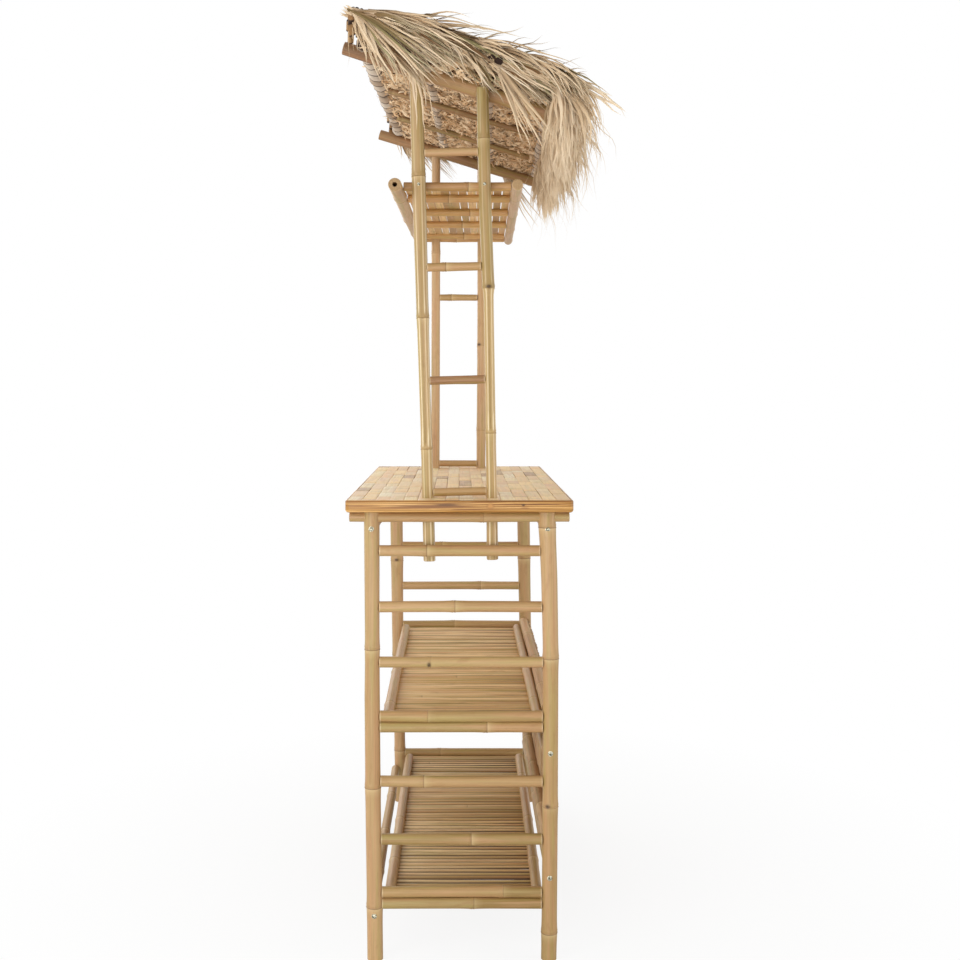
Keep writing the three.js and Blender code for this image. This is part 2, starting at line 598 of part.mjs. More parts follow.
// Everything above the counter is placed from the counter's top
const upper = new THREE.Group();
upper.position.z = COUNTER_HEIGHT;
addPostFrame(upper, 'left');
addPostFrame(upper, 'right');
addRack(upper);
addRafters(upper);
addThatch(upper);
hut.add(upper);

// The origin is on the floor, under the middle of the whole object
hut.updateMatrixWorld(true);
const reach = new THREE.Box3().setFromObject(hut, true);
hut.position.x -= (reach.min.x + reach.max.x) / 2;
hut.position.y -= (reach.min.y + reach.max.y) / 2;

export default hut;
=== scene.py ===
"""Looks of a bamboo bar hut: lacquered poles, slatted shelves, a parquet counter, a palm-leaf roof.

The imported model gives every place: each class below reads the boxes and axes of its own nodes,
builds a finer surface there and dresses it. Metres, +Z up. The length runs along X, the customers
stand on the -Y side, and left is -X.
"""

import functools
import logging
import math
from dataclasses import dataclass, field
from enum import Enum
from typing import Any

import bpy
import numpy as np
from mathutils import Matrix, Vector


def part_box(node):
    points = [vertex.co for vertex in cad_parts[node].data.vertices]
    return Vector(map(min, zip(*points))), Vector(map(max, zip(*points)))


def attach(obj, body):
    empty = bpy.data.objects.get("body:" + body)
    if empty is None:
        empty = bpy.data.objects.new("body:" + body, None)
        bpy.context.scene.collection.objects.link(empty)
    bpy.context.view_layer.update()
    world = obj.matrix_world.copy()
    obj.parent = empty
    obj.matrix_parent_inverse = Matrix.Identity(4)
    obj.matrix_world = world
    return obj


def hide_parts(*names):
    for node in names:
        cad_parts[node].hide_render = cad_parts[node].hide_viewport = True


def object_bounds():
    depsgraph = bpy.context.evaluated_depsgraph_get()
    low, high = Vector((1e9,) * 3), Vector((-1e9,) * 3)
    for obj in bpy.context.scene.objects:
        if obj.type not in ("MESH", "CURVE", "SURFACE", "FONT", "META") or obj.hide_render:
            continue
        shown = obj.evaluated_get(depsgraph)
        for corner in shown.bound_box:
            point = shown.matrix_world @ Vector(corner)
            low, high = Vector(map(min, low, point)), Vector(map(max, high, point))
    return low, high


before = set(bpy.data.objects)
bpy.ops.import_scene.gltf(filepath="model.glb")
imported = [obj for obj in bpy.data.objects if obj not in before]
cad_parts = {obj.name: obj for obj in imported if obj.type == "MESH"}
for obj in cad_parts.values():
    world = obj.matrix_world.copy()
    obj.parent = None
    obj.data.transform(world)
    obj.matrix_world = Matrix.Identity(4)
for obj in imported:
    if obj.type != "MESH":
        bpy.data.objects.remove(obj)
CAD_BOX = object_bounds()

LOG = logging.getLogger("bar_hut")
BODY = "root"
MM = 0.001
TURN = 2 * math.pi
Array = np.ndarray
Tree, Socket = bpy.types.NodeTree, bpy.types.NodeSocket
UP = np.array([0.0, 0.0, 1.0])
LEFT, RIGHT = np.array([-1.0, 0.0, 0.0]), np.array([1.0, 0.0, 0.0])
FRONT, BACK = np.array([0.0, -1.0, 0.0]), np.array([0.0, 1.0, 0.0])
SHARP_DEGREES = 42.0
# Points this close to a packed pole's end belong to its end face
END_FACE_DEPTH = 0.8 * MM
# No node grows this close to a pole's end
END_ROOM = 20 * MM

# Rows of distance from a pole's start, share of its radius, and shifts across and over
Growth = tuple[tuple[float, float, float, float], ...]
Places = tuple[float, ...]


class Slot(Enum):
    """The record's material slots."""

    POLE = "bamboo_pole"
    SLAT = "bamboo_slat"
    PARQUET = "parquet"
    EDGE = "edge_board"
    LEAF = "palm_leaf"


def unit(vectors: Array) -> Array:
    """Vectors divided by their lengths, along the last axis."""
    return vectors / np.linalg.norm(vectors, axis=-1, keepdims=True)


def corners_of(box: Any) -> tuple[Array, Array]:
    """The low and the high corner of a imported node's box, as arrays."""
    low, high = box
    return np.array(low), np.array(high)


def table(**rows: object) -> Any:
    """A dataclass field that holds these rows by name."""
    return field(default_factory=lambda: dict(rows))


def grown(*rows: tuple[float, float, float, float]) -> Growth:
    """How a pole grew, from rows whose shifts are given in millimetres."""
    return tuple((place, girth, across * MM, over * MM) for place, girth, across, over in rows)


def spread(values: Array, shape: tuple[int, ...]) -> Array:
    """A full array of a shape from values that repeat along some of its axes."""
    return np.broadcast_to(values, shape).copy()


def bell(distance: Array, width: float) -> Array:
    """A smooth bump, 1 at no distance, that falls as the exponential of minus the square."""
    return np.exp(-((distance / width) ** 2))


def smooth_step(start: float, end: float, values: Array) -> Array:
    """0 before start, 1 after end, and a cubic in between."""
    share = np.clip((values - start) / (end - start), 0.0, 1.0)
    return share * share * (3 - 2 * share)


def lattice_noise(x: Array, y: Array, seed: int) -> Array:
    """Random values from 0 to 1 at whole places, joined smoothly in between.

    Args:
        x, y: Places on the lattice.
        seed: Seed of its values.

    Returns:
        A value at each place.
    """
    grid = np.random.default_rng(seed).random((256, 256))
    left, low = np.floor(x).astype(int), np.floor(y).astype(int)
    across, up = smooth_step(0.0, 1.0, x - left), smooth_step(0.0, 1.0, y - low)
    corners = [grid[(left + i) % 256, (low + j) % 256] for j in (0, 1) for i in (0, 1)]
    bottom = corners[0] + (corners[1] - corners[0]) * across
    top = corners[2] + (corners[3] - corners[2]) * across
    return bottom + (top - bottom) * up


# Surfaces


@dataclass
class Surface:
    """Points, faces and values at the points of one piece, before it becomes a mesh."""

    points: Array
    quads: Array
    triangles: Array
    values: dict[str, Array]

    @staticmethod
    def joined(parts: list["Surface"]) -> "Surface":
        """One surface that holds several, which all have the same values.

        Args:
            parts: The surfaces.

        Returns:
            All of them as one.
        """
        starts = np.cumsum([0] + [len(part.points) for part in parts[:-1]])
        pairs = list(zip(parts, starts))
        return Surface(
            np.concatenate([part.points for part in parts]),
            np.concatenate([part.quads + start for part, start in pairs]),
            np.concatenate([part.triangles + start for part, start in pairs]),
            {name: np.concatenate([part.values[name] for part in parts]) for name in parts[0].values},
        )


def tubes(rings: Array, start_tips: Array, end_tips: Array, values: dict[str, Array]) -> Surface:
    """Closes many alike tubes, each a row of rings with a fan of triangles at both ends.

    Args:
        rings: Ring points as (tube, ring, side, 3), counter-clockwise as seen against the run.
        start_tips: Middle of each first fan as (tube, 3).
        end_tips: Middle of each last fan as (tube, 3).
        values: Values at the ring points as (tube, ring, side) or (tube, ring, side, 3).

    Returns:
        The surface, in which each tip takes the mean value of its ring.
    """
    count, ring_count, side_count, _ = rings.shape
    stride = ring_count * side_count + 2
    first = np.arange(side_count)
    second = (first + 1) % side_count
    rows = np.arange(ring_count - 1)[:, None] * side_count
    quads = np.stack(
        [rows + first, rows + second, rows + side_count + second, rows + side_count + first], -1
    ).reshape(-1, 4)
    last = (ring_count - 1) * side_count
    start_fan = np.stack([np.full(side_count, stride - 2), second, first], -1)
    end_fan = np.stack([np.full(side_count, stride - 1), last + first, last + second], -1)
    fans = np.concatenate([start_fan, end_fan])
    shifts = (np.arange(count) * stride)[:, None, None]

    def with_tips(array: Array, starts: Array, ends: Array) -> Array:
        """Ring values of each tube followed by the values of its two tips.

        Args:
            array: Values at the ring points.
            starts, ends: Values at the tips of each tube.

        Returns:
            Values in the order of the surface's points.
        """
        tail = array.shape[3:]
        body = array.reshape(count, ring_count * side_count, *tail)
        return np.concatenate([body, starts[:, None], ends[:, None]], 1).reshape(count * stride, *tail)

    return Surface(
        with_tips(rings, start_tips, end_tips),
        (quads[None] + shifts).reshape(-1, 4),
        (fans[None] + shifts).reshape(-1, 3),
        {
            name: with_tips(array, array[:, 0].mean(1), array[:, -1].mean(1))
            for name, array in values.items()
        },
    )


def tube(rings: Array, values: dict[str, Array], *tips: Array) -> Surface:
    """Closes one tube of rings at two given tips, or at the middles of its end rings."""
    start, end = (tip[None] for tip in tips) if tips else (rings[:1].mean(1), rings[-1:].mean(1))
    return tubes(rings[None], start, end, {name: array[None] for name, array in values.items()})


def closed_loop(rings: Array, values: dict[str, Array]) -> Surface:
    """A ring of rings, closed both ways, as a frame's rim is.

    Args:
        rings: Points as (ring, side, 3), counter-clockwise as seen against the run.
        values: Values at the points as (ring, side) or (ring, side, 3).

    Returns:
        The surface.
    """
    ring_count, side_count, _ = rings.shape
    ring = np.arange(ring_count)[:, None]
    side = np.arange(side_count)[None]
    here = ring * side_count
    there = (ring + 1) % ring_count * side_count
    beside = (side + 1) % side_count
    quads = np.stack([here + side, here + beside, there + beside, there + side], -1).reshape(-1, 4)
    total = ring_count * side_count
    flat = {name: array.reshape(total, *array.shape[2:]) for name, array in values.items()}
    return Surface(rings.reshape(-1, 3), quads, np.zeros((0, 3), int), flat)


def make_piece(
    name: str, surface: Surface, material: bpy.types.Material,
    replaced: tuple[str, ...] = (),
) -> None:
    """Turns a surface into a piece of the hut that rides on its body.

    Args:
        name: Name of the piece.
        surface: Points, faces and values.
        material: Finish of the whole piece.
        replaced: Nodes that the piece stands for.
    """
    mesh = bpy.data.meshes.new(name)
    mesh.vertices.add(len(surface.points))
    mesh.vertices.foreach_set("co", surface.points.astype(np.float32).ravel())
    corners = np.concatenate([surface.quads.ravel(), surface.triangles.ravel()])
    sizes = np.concatenate([np.full(len(surface.quads), 4), np.full(len(surface.triangles), 3)])
    mesh.loops.add(len(corners))
    mesh.loops.foreach_set("vertex_index", corners.astype(np.int32))
    mesh.polygons.add(len(sizes))
    mesh.polygons.foreach_set("loop_start", (np.cumsum(sizes) - sizes).astype(np.int32))
    mesh.update(calc_edges=True)
    mesh.validate()
    for key, array in surface.values.items():
        is_vector = array.ndim == 2
        stored = mesh.attributes.new(key, "FLOAT_VECTOR" if is_vector else "FLOAT", "POINT")
        stored.data.foreach_set("vector" if is_vector else "value", array.astype(np.float32).ravel())
    mesh.polygons.foreach_set("use_smooth", np.ones(len(mesh.polygons), bool))
    mesh.set_sharp_from_angle(angle=math.radians(SHARP_DEGREES))
    mesh.materials.append(material)
    piece = bpy.data.objects.new(name, mesh)
    bpy.context.scene.collection.objects.link(piece)
    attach(piece, BODY)
    if replaced:
        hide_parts(*replaced)
    LOG.info("%s: %d faces", name, len(mesh.polygons))


@dataclass(frozen=True)
class Axis:
    """Middle line of a round pole: two ends, and the radius at each."""

    start: Array
    end: Array
    start_radius: float
    end_radius: float

    @property
    def length(self) -> float:
        """Distance between the ends."""
        return float(np.linalg.norm(self.end - self.start))

    @property
    def direction(self) -> Array:
        """Unit vector from the start to the end."""
        return (self.end - self.start) / self.length

    def extended(self, before: float, after: float) -> "Axis":
        """The same axis, longer by so much at its start and at its end."""
        start = self.start - self.direction * before
        return Axis(start, self.end + self.direction * after, self.start_radius, self.end_radius)

    @staticmethod
    def of(node: str) -> "Axis":
        """Finds the axis of a pole node: the line through the middles of its two end faces.

        Args:
            node: Name of the pole's node.

        Returns:
            The axis, which runs towards +X, +Y or +Z.
        """
        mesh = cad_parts[node].data
        flat = np.zeros(len(mesh.vertices) * 3, np.float32)
        mesh.vertices.foreach_get("co", flat)
        points = np.unique(flat.reshape(-1, 3).astype(float).round(6), axis=0)
        direction = np.linalg.svd(points - points.mean(0), full_matrices=False)[2][0]
        direction = direction * np.sign(direction[np.argmax(np.abs(direction))])
        for _ in range(3):
            reach = points @ direction
            low = points[reach < reach.min() + END_FACE_DEPTH]
            high = points[reach > reach.max() - END_FACE_DEPTH]
            direction = unit(high.mean(0) - low.mean(0))
        radii = [float(np.linalg.norm(end - end.mean(0), axis=1).max()) for end in (low, high)]
        return Axis(low.mean(0), high.mean(0), *radii)


# Finishes


def linear(hex_colour: str) -> tuple[float, float, float, float]:
    """An sRGB hex colour, with or without a two-digit opacity, as linear light.

    Args:
        hex_colour: The colour.

    Returns:
        Red, green, blue and opacity.
    """
    digits = hex_colour.lstrip("#")
    red, green, blue, *opacity = (int(digits[at : at + 2], 16) / 255 for at in range(0, len(digits), 2))
    light = [c / 12.92 if c <= 0.04045 else ((c + 0.055) / 1.055) ** 2.4 for c in (red, green, blue)]
    return (*light, opacity[0] if opacity else 1.0)


def feed(tree: Tree, node: bpy.types.Node, inputs: dict) -> None:
    """Gives inputs of a node, by name or number, a value each or the socket that feeds them.

    Args:
        tree: Node tree of the node.
        node: The node.
        inputs: What each input gets.
    """
    for key, value in inputs.items():
        if isinstance(value, Socket):
            tree.links.new(value, node.inputs[key])
        else:
            node.inputs[key].default_value = value


def add_node(tree: Tree, kind: str, inputs: dict | None = None, **settings: object) -> bpy.types.Node:
    """Adds one shader node, sets its fields and feeds its inputs.

    Args:
        tree: Node tree that gets the node.
        kind: Name of the node's type without its ShaderNode prefix.
        inputs: Input names or numbers, each with a value or the socket that feeds it.
        settings: Fields of the node.

    Returns:
        The new node.
    """
    node = tree.nodes.new("ShaderNode" + kind)
    for key, value in settings.items():
        setattr(node, key, value)
    feed(tree, node, inputs or {})
    return node


def blank_material(name: str) -> tuple[bpy.types.Material, Tree, bpy.types.Node]:
    """A new material with its node tree and its surface shader.

    Args:
        name: Name of the material.

    Returns:
        The material, its node tree and its surface shader.
    """
    material = bpy.data.materials.new(name)
    material.use_nodes = True
    return material, material.node_tree, material.node_tree.nodes["Principled BSDF"]


def computed(tree: Tree, kind: str, operation: str, *inputs: object, output: int | str = 0) -> Socket:
    """What a Math or VectorMath node makes of its inputs."""
    return add_node(tree, kind, dict(enumerate(inputs)), operation=operation).outputs[output]


def blended(tree: Tree, share: object, below: Socket, above: object) -> Socket:
    """The colour that lies a share of the way from one colour to another socket or hex colour."""
    above = linear(above) if isinstance(above, str) else above
    return add_node(tree, "Mix", {0: share, 6: below, 7: above}, data_type="RGBA").outputs[2]


def attribute(tree: Tree, name: str, output: str = "Fac") -> Socket:
    """What the mesh stores under a name at each point."""
    return add_node(tree, "Attribute", attribute_name=name).outputs[output]


def masked(
    tree: Tree, value: Socket, start: float, end: float, share: float, base: float = 0.0
) -> Socket:
    """A share that goes from its base to its full size as a value goes from start to end."""
    inputs = {"Value": value, "From Min": start, "From Max": end, "To Min": base, "To Max": share}
    return add_node(tree, "MapRange", inputs).outputs["Result"]


def ramp(tree: Tree, value: Socket, *stops: tuple[float, str]) -> bpy.types.NodeOutputs:
    """Colour and opacity along a value: the first, the last and then the middle stops.

    Args:
        tree: Node tree.
        value: The value, from 0 to 1.
        stops: Places with hex colours.

    Returns:
        The ramp's outputs.
    """
    node = add_node(tree, "ValToRGB", {"Fac": value})
    elements = node.color_ramp.elements
    for index, (place, colour) in enumerate(stops):
        stop = elements[index] if index < 2 else elements.new(place)
        stop.position = place
        stop.color = linear(colour)
    return node.outputs


def tone_ramp(tree: Tree, tone: Socket, tones: tuple[str, ...]) -> Socket:
    """Colours in even steps along a tone from 0 to 1."""
    return ramp(tree, tone, *zip(np.linspace(0.0, 1.0, len(tones)).tolist(), tones))["Color"]


def fibre_noise(tree: Tree, grain: Socket, width: float, length: float, detail: float) -> Socket:
    """Noise that is one width across the grain and one length along it.

    Args:
        tree: Node tree.
        grain: Place across, off and along the grain.
        width: Width of the fibres.
        length: Their length.
        detail: Number of finer layers.

    Returns:
        The noise.
    """
    scaled = computed(tree, "VectorMath", "MULTIPLY", grain, (1 / width, 1 / width, 1 / length))
    inputs = {"Vector": scaled, "Scale": 1.0, "Detail": detail, "Roughness": 0.6}
    return add_node(tree, "TexNoise", inputs).outputs["Fac"]


@dataclass(frozen=True)
class Bamboo:
    """Peeled bamboo under a thin satin lacquer.

    A pole shows one tone for each internode, long bands that lean to pink or to olive, fibres,
    a few stains, scars and a ring at each node. Painted shade darkens the flutes and the side edges
    of slats, and painted highlights lie on the flutes' ridges and the rims of rungs' ends. Split and
    flattened strips are the same wood, cut.
    """

    name: str
    tones: tuple[str, ...]
    streak: str = "#8d6d3d"
    stain: str = "#a97a4e"
    bloom: str = "#e3c999"
    pink: str = "#c18f68"
    olive: str = "#aa9a58"
    band_share: float = 0.45
    streak_share: float = 0.42
    stain_share: float = 0.45
    roughness: float = 0.44
    fibre_width: float = 0.9 * MM
    streak_width: float = 3.2 * MM
    streak_length: float = 170 * MM
    band_width: float = 15 * MM
    band_length: float = 260 * MM
    mottle_size: float = 55 * MM

    @functools.cache
    def material(self) -> bpy.types.Material:
        """Builds the shader once.

        Returns:
            The material.
        """
        material, tree, shader = blank_material(self.name)
        grain = attribute(tree, "grain", "Vector")
        ring = add_node(tree, "SeparateXYZ", {0: attribute(tree, "ring", "Vector")}).outputs
        fibres = fibre_noise(tree, grain, self.fibre_width, self.streak_length, 2.0)
        streaks = fibre_noise(tree, grain, self.streak_width, self.streak_length, 4.0)
        bands = fibre_noise(tree, grain, self.band_width, self.band_length, 2.0)
        mottle = fibre_noise(tree, grain, self.mottle_size / 3, self.mottle_size, 3.0)
        colour = tone_ramp(tree, attribute(tree, "tone"), self.tones)
        for value, start, end, share, shade in (
            (bands, 0.47, 0.36, self.band_share, self.pink),
            (bands, 0.53, 0.64, self.band_share, self.olive),
            (streaks, 0.48, 0.78, self.streak_share, self.streak),
            (mottle, 0.58, 0.82, self.stain_share, self.stain),
            (fibres, 0.5, 0.85, 0.3, self.bloom),
            # Painted shade in flute hollows, and painted highlights on flute ridges and rung ends
            (ring["Z"], 0.1, 1.0, 0.4, self.streak),
            (ring["Z"], -0.1, -1.0, 0.85, "#f0dfba"),
        ):
            colour = blended(tree, masked(tree, value, start, end, share), colour, shade)

        # Each node has a thin dark ring, a pale waxy band under it and a duller band over it
        place = masked(tree, ring["X"], -22 * MM, 22 * MM, 1.0)
        stops = (
            (0.0, "#cdb482" + "00"), (1.0, "#94703f" + "00"), (0.3, "#d3bb8a" + "48"),
            (0.465, "#e0c898" + "90"), (0.492, "#6a4a25" + "b0"), (0.512, "#5e4020" + "b0"),
            (0.545, "#937043" + "58"), (0.66, "#9b7848" + "30"),
        )
        band = ramp(tree, place, *stops)
        share = computed(tree, "Math", "MULTIPLY", band["Alpha"], ring["Y"])
        colour = blended(tree, share, colour, band["Color"])
        # Scars of side shoots, and painted shade along the side edges of slats
        colour = blended(tree, attribute(tree, "scar_and_gap_shade"), colour, "#3f2712")
        end_grain = ramp(tree, fibres, (0.3, "#8f6f45"), (0.7, "#b4946a"))["Color"]
        colour = blended(tree, attribute(tree, "cut"), colour, end_grain)
        rough = masked(tree, mottle, 0.0, 1.0, self.roughness + 0.12, self.roughness - 0.08)
        relief = computed(tree, "Math", "ADD", fibres, streaks)
        bump = add_node(tree, "Bump", {"Height": relief, "Strength": 0.35, "Distance": 0.25 * MM})
        dressed = {"Base Color": colour, "Roughness": rough, "Normal": bump.outputs["Normal"]}
        feed(tree, shader, {**dressed, "IOR": 1.5})
        return material


POLE_FINISH = Bamboo(
    "lacquered_bamboo_pole", ("#94763f", "#a58a55", "#b38e5c", "#ba9768", "#c49f70", "#cba880"),
    streak="#82632f", stain="#96683f", bloom="#d3ba8b",
)
POST_FINISH = Bamboo(
    "olive_bamboo_post", ("#8f7440", "#a18650", "#b09058", "#b99963", "#c3a26e", "#cbaa7b"),
    streak="#7d622f", stain="#8f6a42", bloom="#d0b987", pink="#b9926a",
)
# Browner than the poles: partly the rafters' own colour, partly painted shade for rafters under the mat
RAFTER_FINISH = Bamboo(
    "brown_bamboo_rafter", ("#7c5938", "#957049", "#a98256", "#bd9668"), streak="#664526",
    stain="#7b5736", bloom="#c5a680", roughness=0.55,
)
SLAT_FINISH = Bamboo(
    "split_bamboo_slat", ("#9c7745", "#bb945e", "#d3ae76", "#e6c28b", "#f2d39f"), streak="#80602f",
    stain="#9a7045", bloom="#dcc28f",
)
RACK_FINISH = Bamboo(
    "split_bamboo_rack", ("#aa814c", "#ca9f64", "#ddb072", "#e8bd80", "#f1cb91"), streak="#7f5a2e",
    stain="#9d6f42", bloom="#dcc090",
)
SCREEN_FINISH = Bamboo(
    "rough_split_bamboo_screen", ("#a8835a", "#bb9468", "#cca678", "#dab788"), streak="#684828",
    stain="#7f5a38", bloom="#cdb084", streak_share=0.7, roughness=0.6,
)
DARK_RUNG_FINISH = Bamboo(
    "smoked_bamboo_rung", ("#805a39", "#966f4a", "#ab8459"), streak="#68401f", stain="#74451f",
    bloom="#c1905c", streak_share=0.8, stain_share=0.7,
)
PARQUET_FINISH = Bamboo(
    "flattened_bamboo_parquet",
    ("#ba9770", "#f4ca98", "#ffdd9e", "#ebc596", "#ffe8b2", "#f0cd9f", "#fff0ca"), streak="#cda777",
    stain="#d6ad80", bloom="#f7e6c6", pink="#e4bd97", olive="#e0c890", streak_share=0.35,
    stain_share=0.4, roughness=0.5, streak_width=5 * MM,
)


@dataclass(frozen=True)
class EdgeBoard:
    """Planed pine-like board, lacquered: honey heartwood with long dark streaks and a few knots."""

    name: str = "lacquered_edge_board"
    streak_tall: float = 2.9 * MM
    streak_long: float = 210 * MM

    def material(self) -> bpy.types.Material:
        """Builds the shader from the grain attribute: across, off the face, and along the board.

        Returns:
            The material.
        """
        material, tree, shader = blank_material(self.name)
        grain = attribute(tree, "grain", "Vector")
        place = add_node(tree, "TexCoord").outputs["Object"]
        scale = (1 / self.streak_tall, 1 / self.streak_tall, 1 / self.streak_long)
        stretched = computed(tree, "VectorMath", "MULTIPLY", grain, scale)
        inputs = {"Vector": stretched, "Scale": 0.55, "Detail": 5.0, "Distortion": 1.8}
        rings = add_node(tree, "TexNoise", inputs).outputs["Fac"]
        stops = (
            (0.34, "#693d13"), (0.66, "#e0b372"), (0.44, "#935f23"), (0.52, "#b6833c"),
            (0.58, "#cb9a54"),
        )
        colour = ramp(tree, rings, *stops)["Color"]
        middle = sum(corners_of(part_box("counter_edge_frame"))) / 2
        # Knots: place along the board and above its middle, half sizes in millimetres, shade, share
        marks = (
            (0.075, 0.002, 100.0, 3.4, "#7d4d1c", 0.8),
            (0.028, 0.004, 34.0, 3.0, "#5e3711", 0.85),
            (-0.070, 0.001, 10.5, 8.0, "#8f5820", 0.65),
            (-0.070, 0.001, 6.5, 4.8, "#c68d47", 0.8),
            (-0.144, 0.0035, 4.5, 2.6, "#452509", 0.95),
            (-0.148, -0.003, 13.0, 3.0, "#8b561f", 0.55),
        )
        for along, above, half_long, half_tall, shade, share in marks:
            centre = (0.0, -(middle[1] + along), -(middle[2] + above))
            moved = computed(tree, "VectorMath", "ADD", place, centre)
            flat = (0.0, 1 / (half_long * MM), 1 / (half_tall * MM))
            shaped = computed(tree, "VectorMath", "MULTIPLY", moved, flat)
            away = computed(tree, "VectorMath", "LENGTH", shaped, output="Value")
            ragged = computed(tree, "Math", "MULTIPLY_ADD", rings, 1.6, away)
            colour = blended(tree, masked(tree, ragged, 1.35, 2.0, 0.0, share), colour, shade)
        bump = add_node(tree, "Bump", {"Height": rings, "Strength": 0.25, "Distance": 0.3 * MM})
        dressed = {"Base Color": colour, "Roughness": 0.42, "Normal": bump.outputs["Normal"]}
        feed(tree, shader, dressed)
        return material


@dataclass(frozen=True)
class PalmLeaf:
    """Sun-dried palm leaf: thin blades with fine ribs, matt, bleached, with a few still green."""

    name: str
    tones: tuple[str, ...]
    shade: str = "#6e4a24"
    tip: str = "#dcc49c"
    rib_width: float = 0.8 * MM
    rib_length: float = 60 * MM
    roughness: float = 0.78

    @functools.cache
    def material(self) -> bpy.types.Material:
        """Builds the shader once, from each blade's tone, its run from root to tip and its shade.

        Returns:
            The material.
        """
        material, tree, shader = blank_material(self.name)
        grain = attribute(tree, "grain", "Vector")
        ribs = fibre_noise(tree, grain, self.rib_width, self.rib_length, 3.0)
        run = attribute(tree, "run")
        colour = tone_ramp(tree, attribute(tree, "tone"), self.tones)
        colour = blended(tree, masked(tree, ribs, 0.5, 0.75, 0.35), colour, "#a5834f")
        colour = blended(tree, masked(tree, run, 0.55, 1.0, 0.4), colour, self.tip)
        colour = blended(tree, attribute(tree, "shade"), colour, self.shade)
        bump = add_node(tree, "Bump", {"Height": ribs, "Strength": 0.4, "Distance": 0.3 * MM})
        dressed = {"Base Color": colour, "Roughness": self.roughness, "Normal": bump.outputs["Normal"]}
        feed(tree, shader, {**dressed, "Specular IOR Level": 0.3})
        return material


BLADE_FINISH = PalmLeaf(
    "dried_palm_blade",
    ("#75583a", "#90895f", "#ad9672", "#c0a581", "#ceb390", "#dac09d", "#e5ceae", "#eedcc1"),
    tip="#f6e5c8",
)
FOLD_FINISH = PalmLeaf(
    "folded_palm_leaf", ("#9c6e45", "#c29669", "#dbb486", "#eac69a", "#f4d6ae", "#fae2c0"),
    shade="#4a2b15", tip="#e0be95",
)
WRAP_FINISH = PalmLeaf(
    "wrapped_palm_leaf", ("#a38a72", "#bda68f", "#d2bea8", "#e3d5c4"), shade="#3f2a1c", tip="#e5d2bc"
)
RIDGE_FINISH = PalmLeaf(
    "weathered_palm_fold", ("#7f5a36", "#957048", "#aa855a", "#bd9b70"), shade="#2c1a10", tip="#aa855a"
)


@dataclass(frozen=True)
class ZincPlatedSteel:
    """Zinc-plated steel bolt heads: a cool grey metal with a slight yellow passivation."""

    name: str = "zinc_plated_steel"

    @functools.cache
    def material(self) -> bpy.types.Material:
        """Builds the shader once.

        Returns:
            The material.
        """
        material, tree, shader = blank_material(self.name)
        place = add_node(tree, "TexCoord").outputs["Object"]
        inputs = {"Vector": place, "Scale": 1 / (3.4 * MM), "Detail": 1.0}
        cloud = add_node(tree, "TexNoise", inputs).outputs["Fac"]
        colour = ramp(tree, cloud, (0.35, "#5b5a44"), (0.62, "#dedcc9"))["Color"]
        feed(tree, shader, {"Base Color": colour, "Metallic": 1.0, "Roughness": 0.45})
        return material


STEEL = ZincPlatedSteel()


# Poles and strips

STRAIGHT_GROWTH = grown((0.0, 1.0, 0, 0))
# Places of the close rings round a node
NODE_RINGS = np.array([-14, -8, -4.5, -2.6, -1.5, -0.8, -0.3, 0.3, 0.9, 1.8, 3, 4.5, 6, 8, 11, 15]) * MM
# How far a rung's end reaches into the pole that it meets
JOINT_BITE = 1.2 * MM


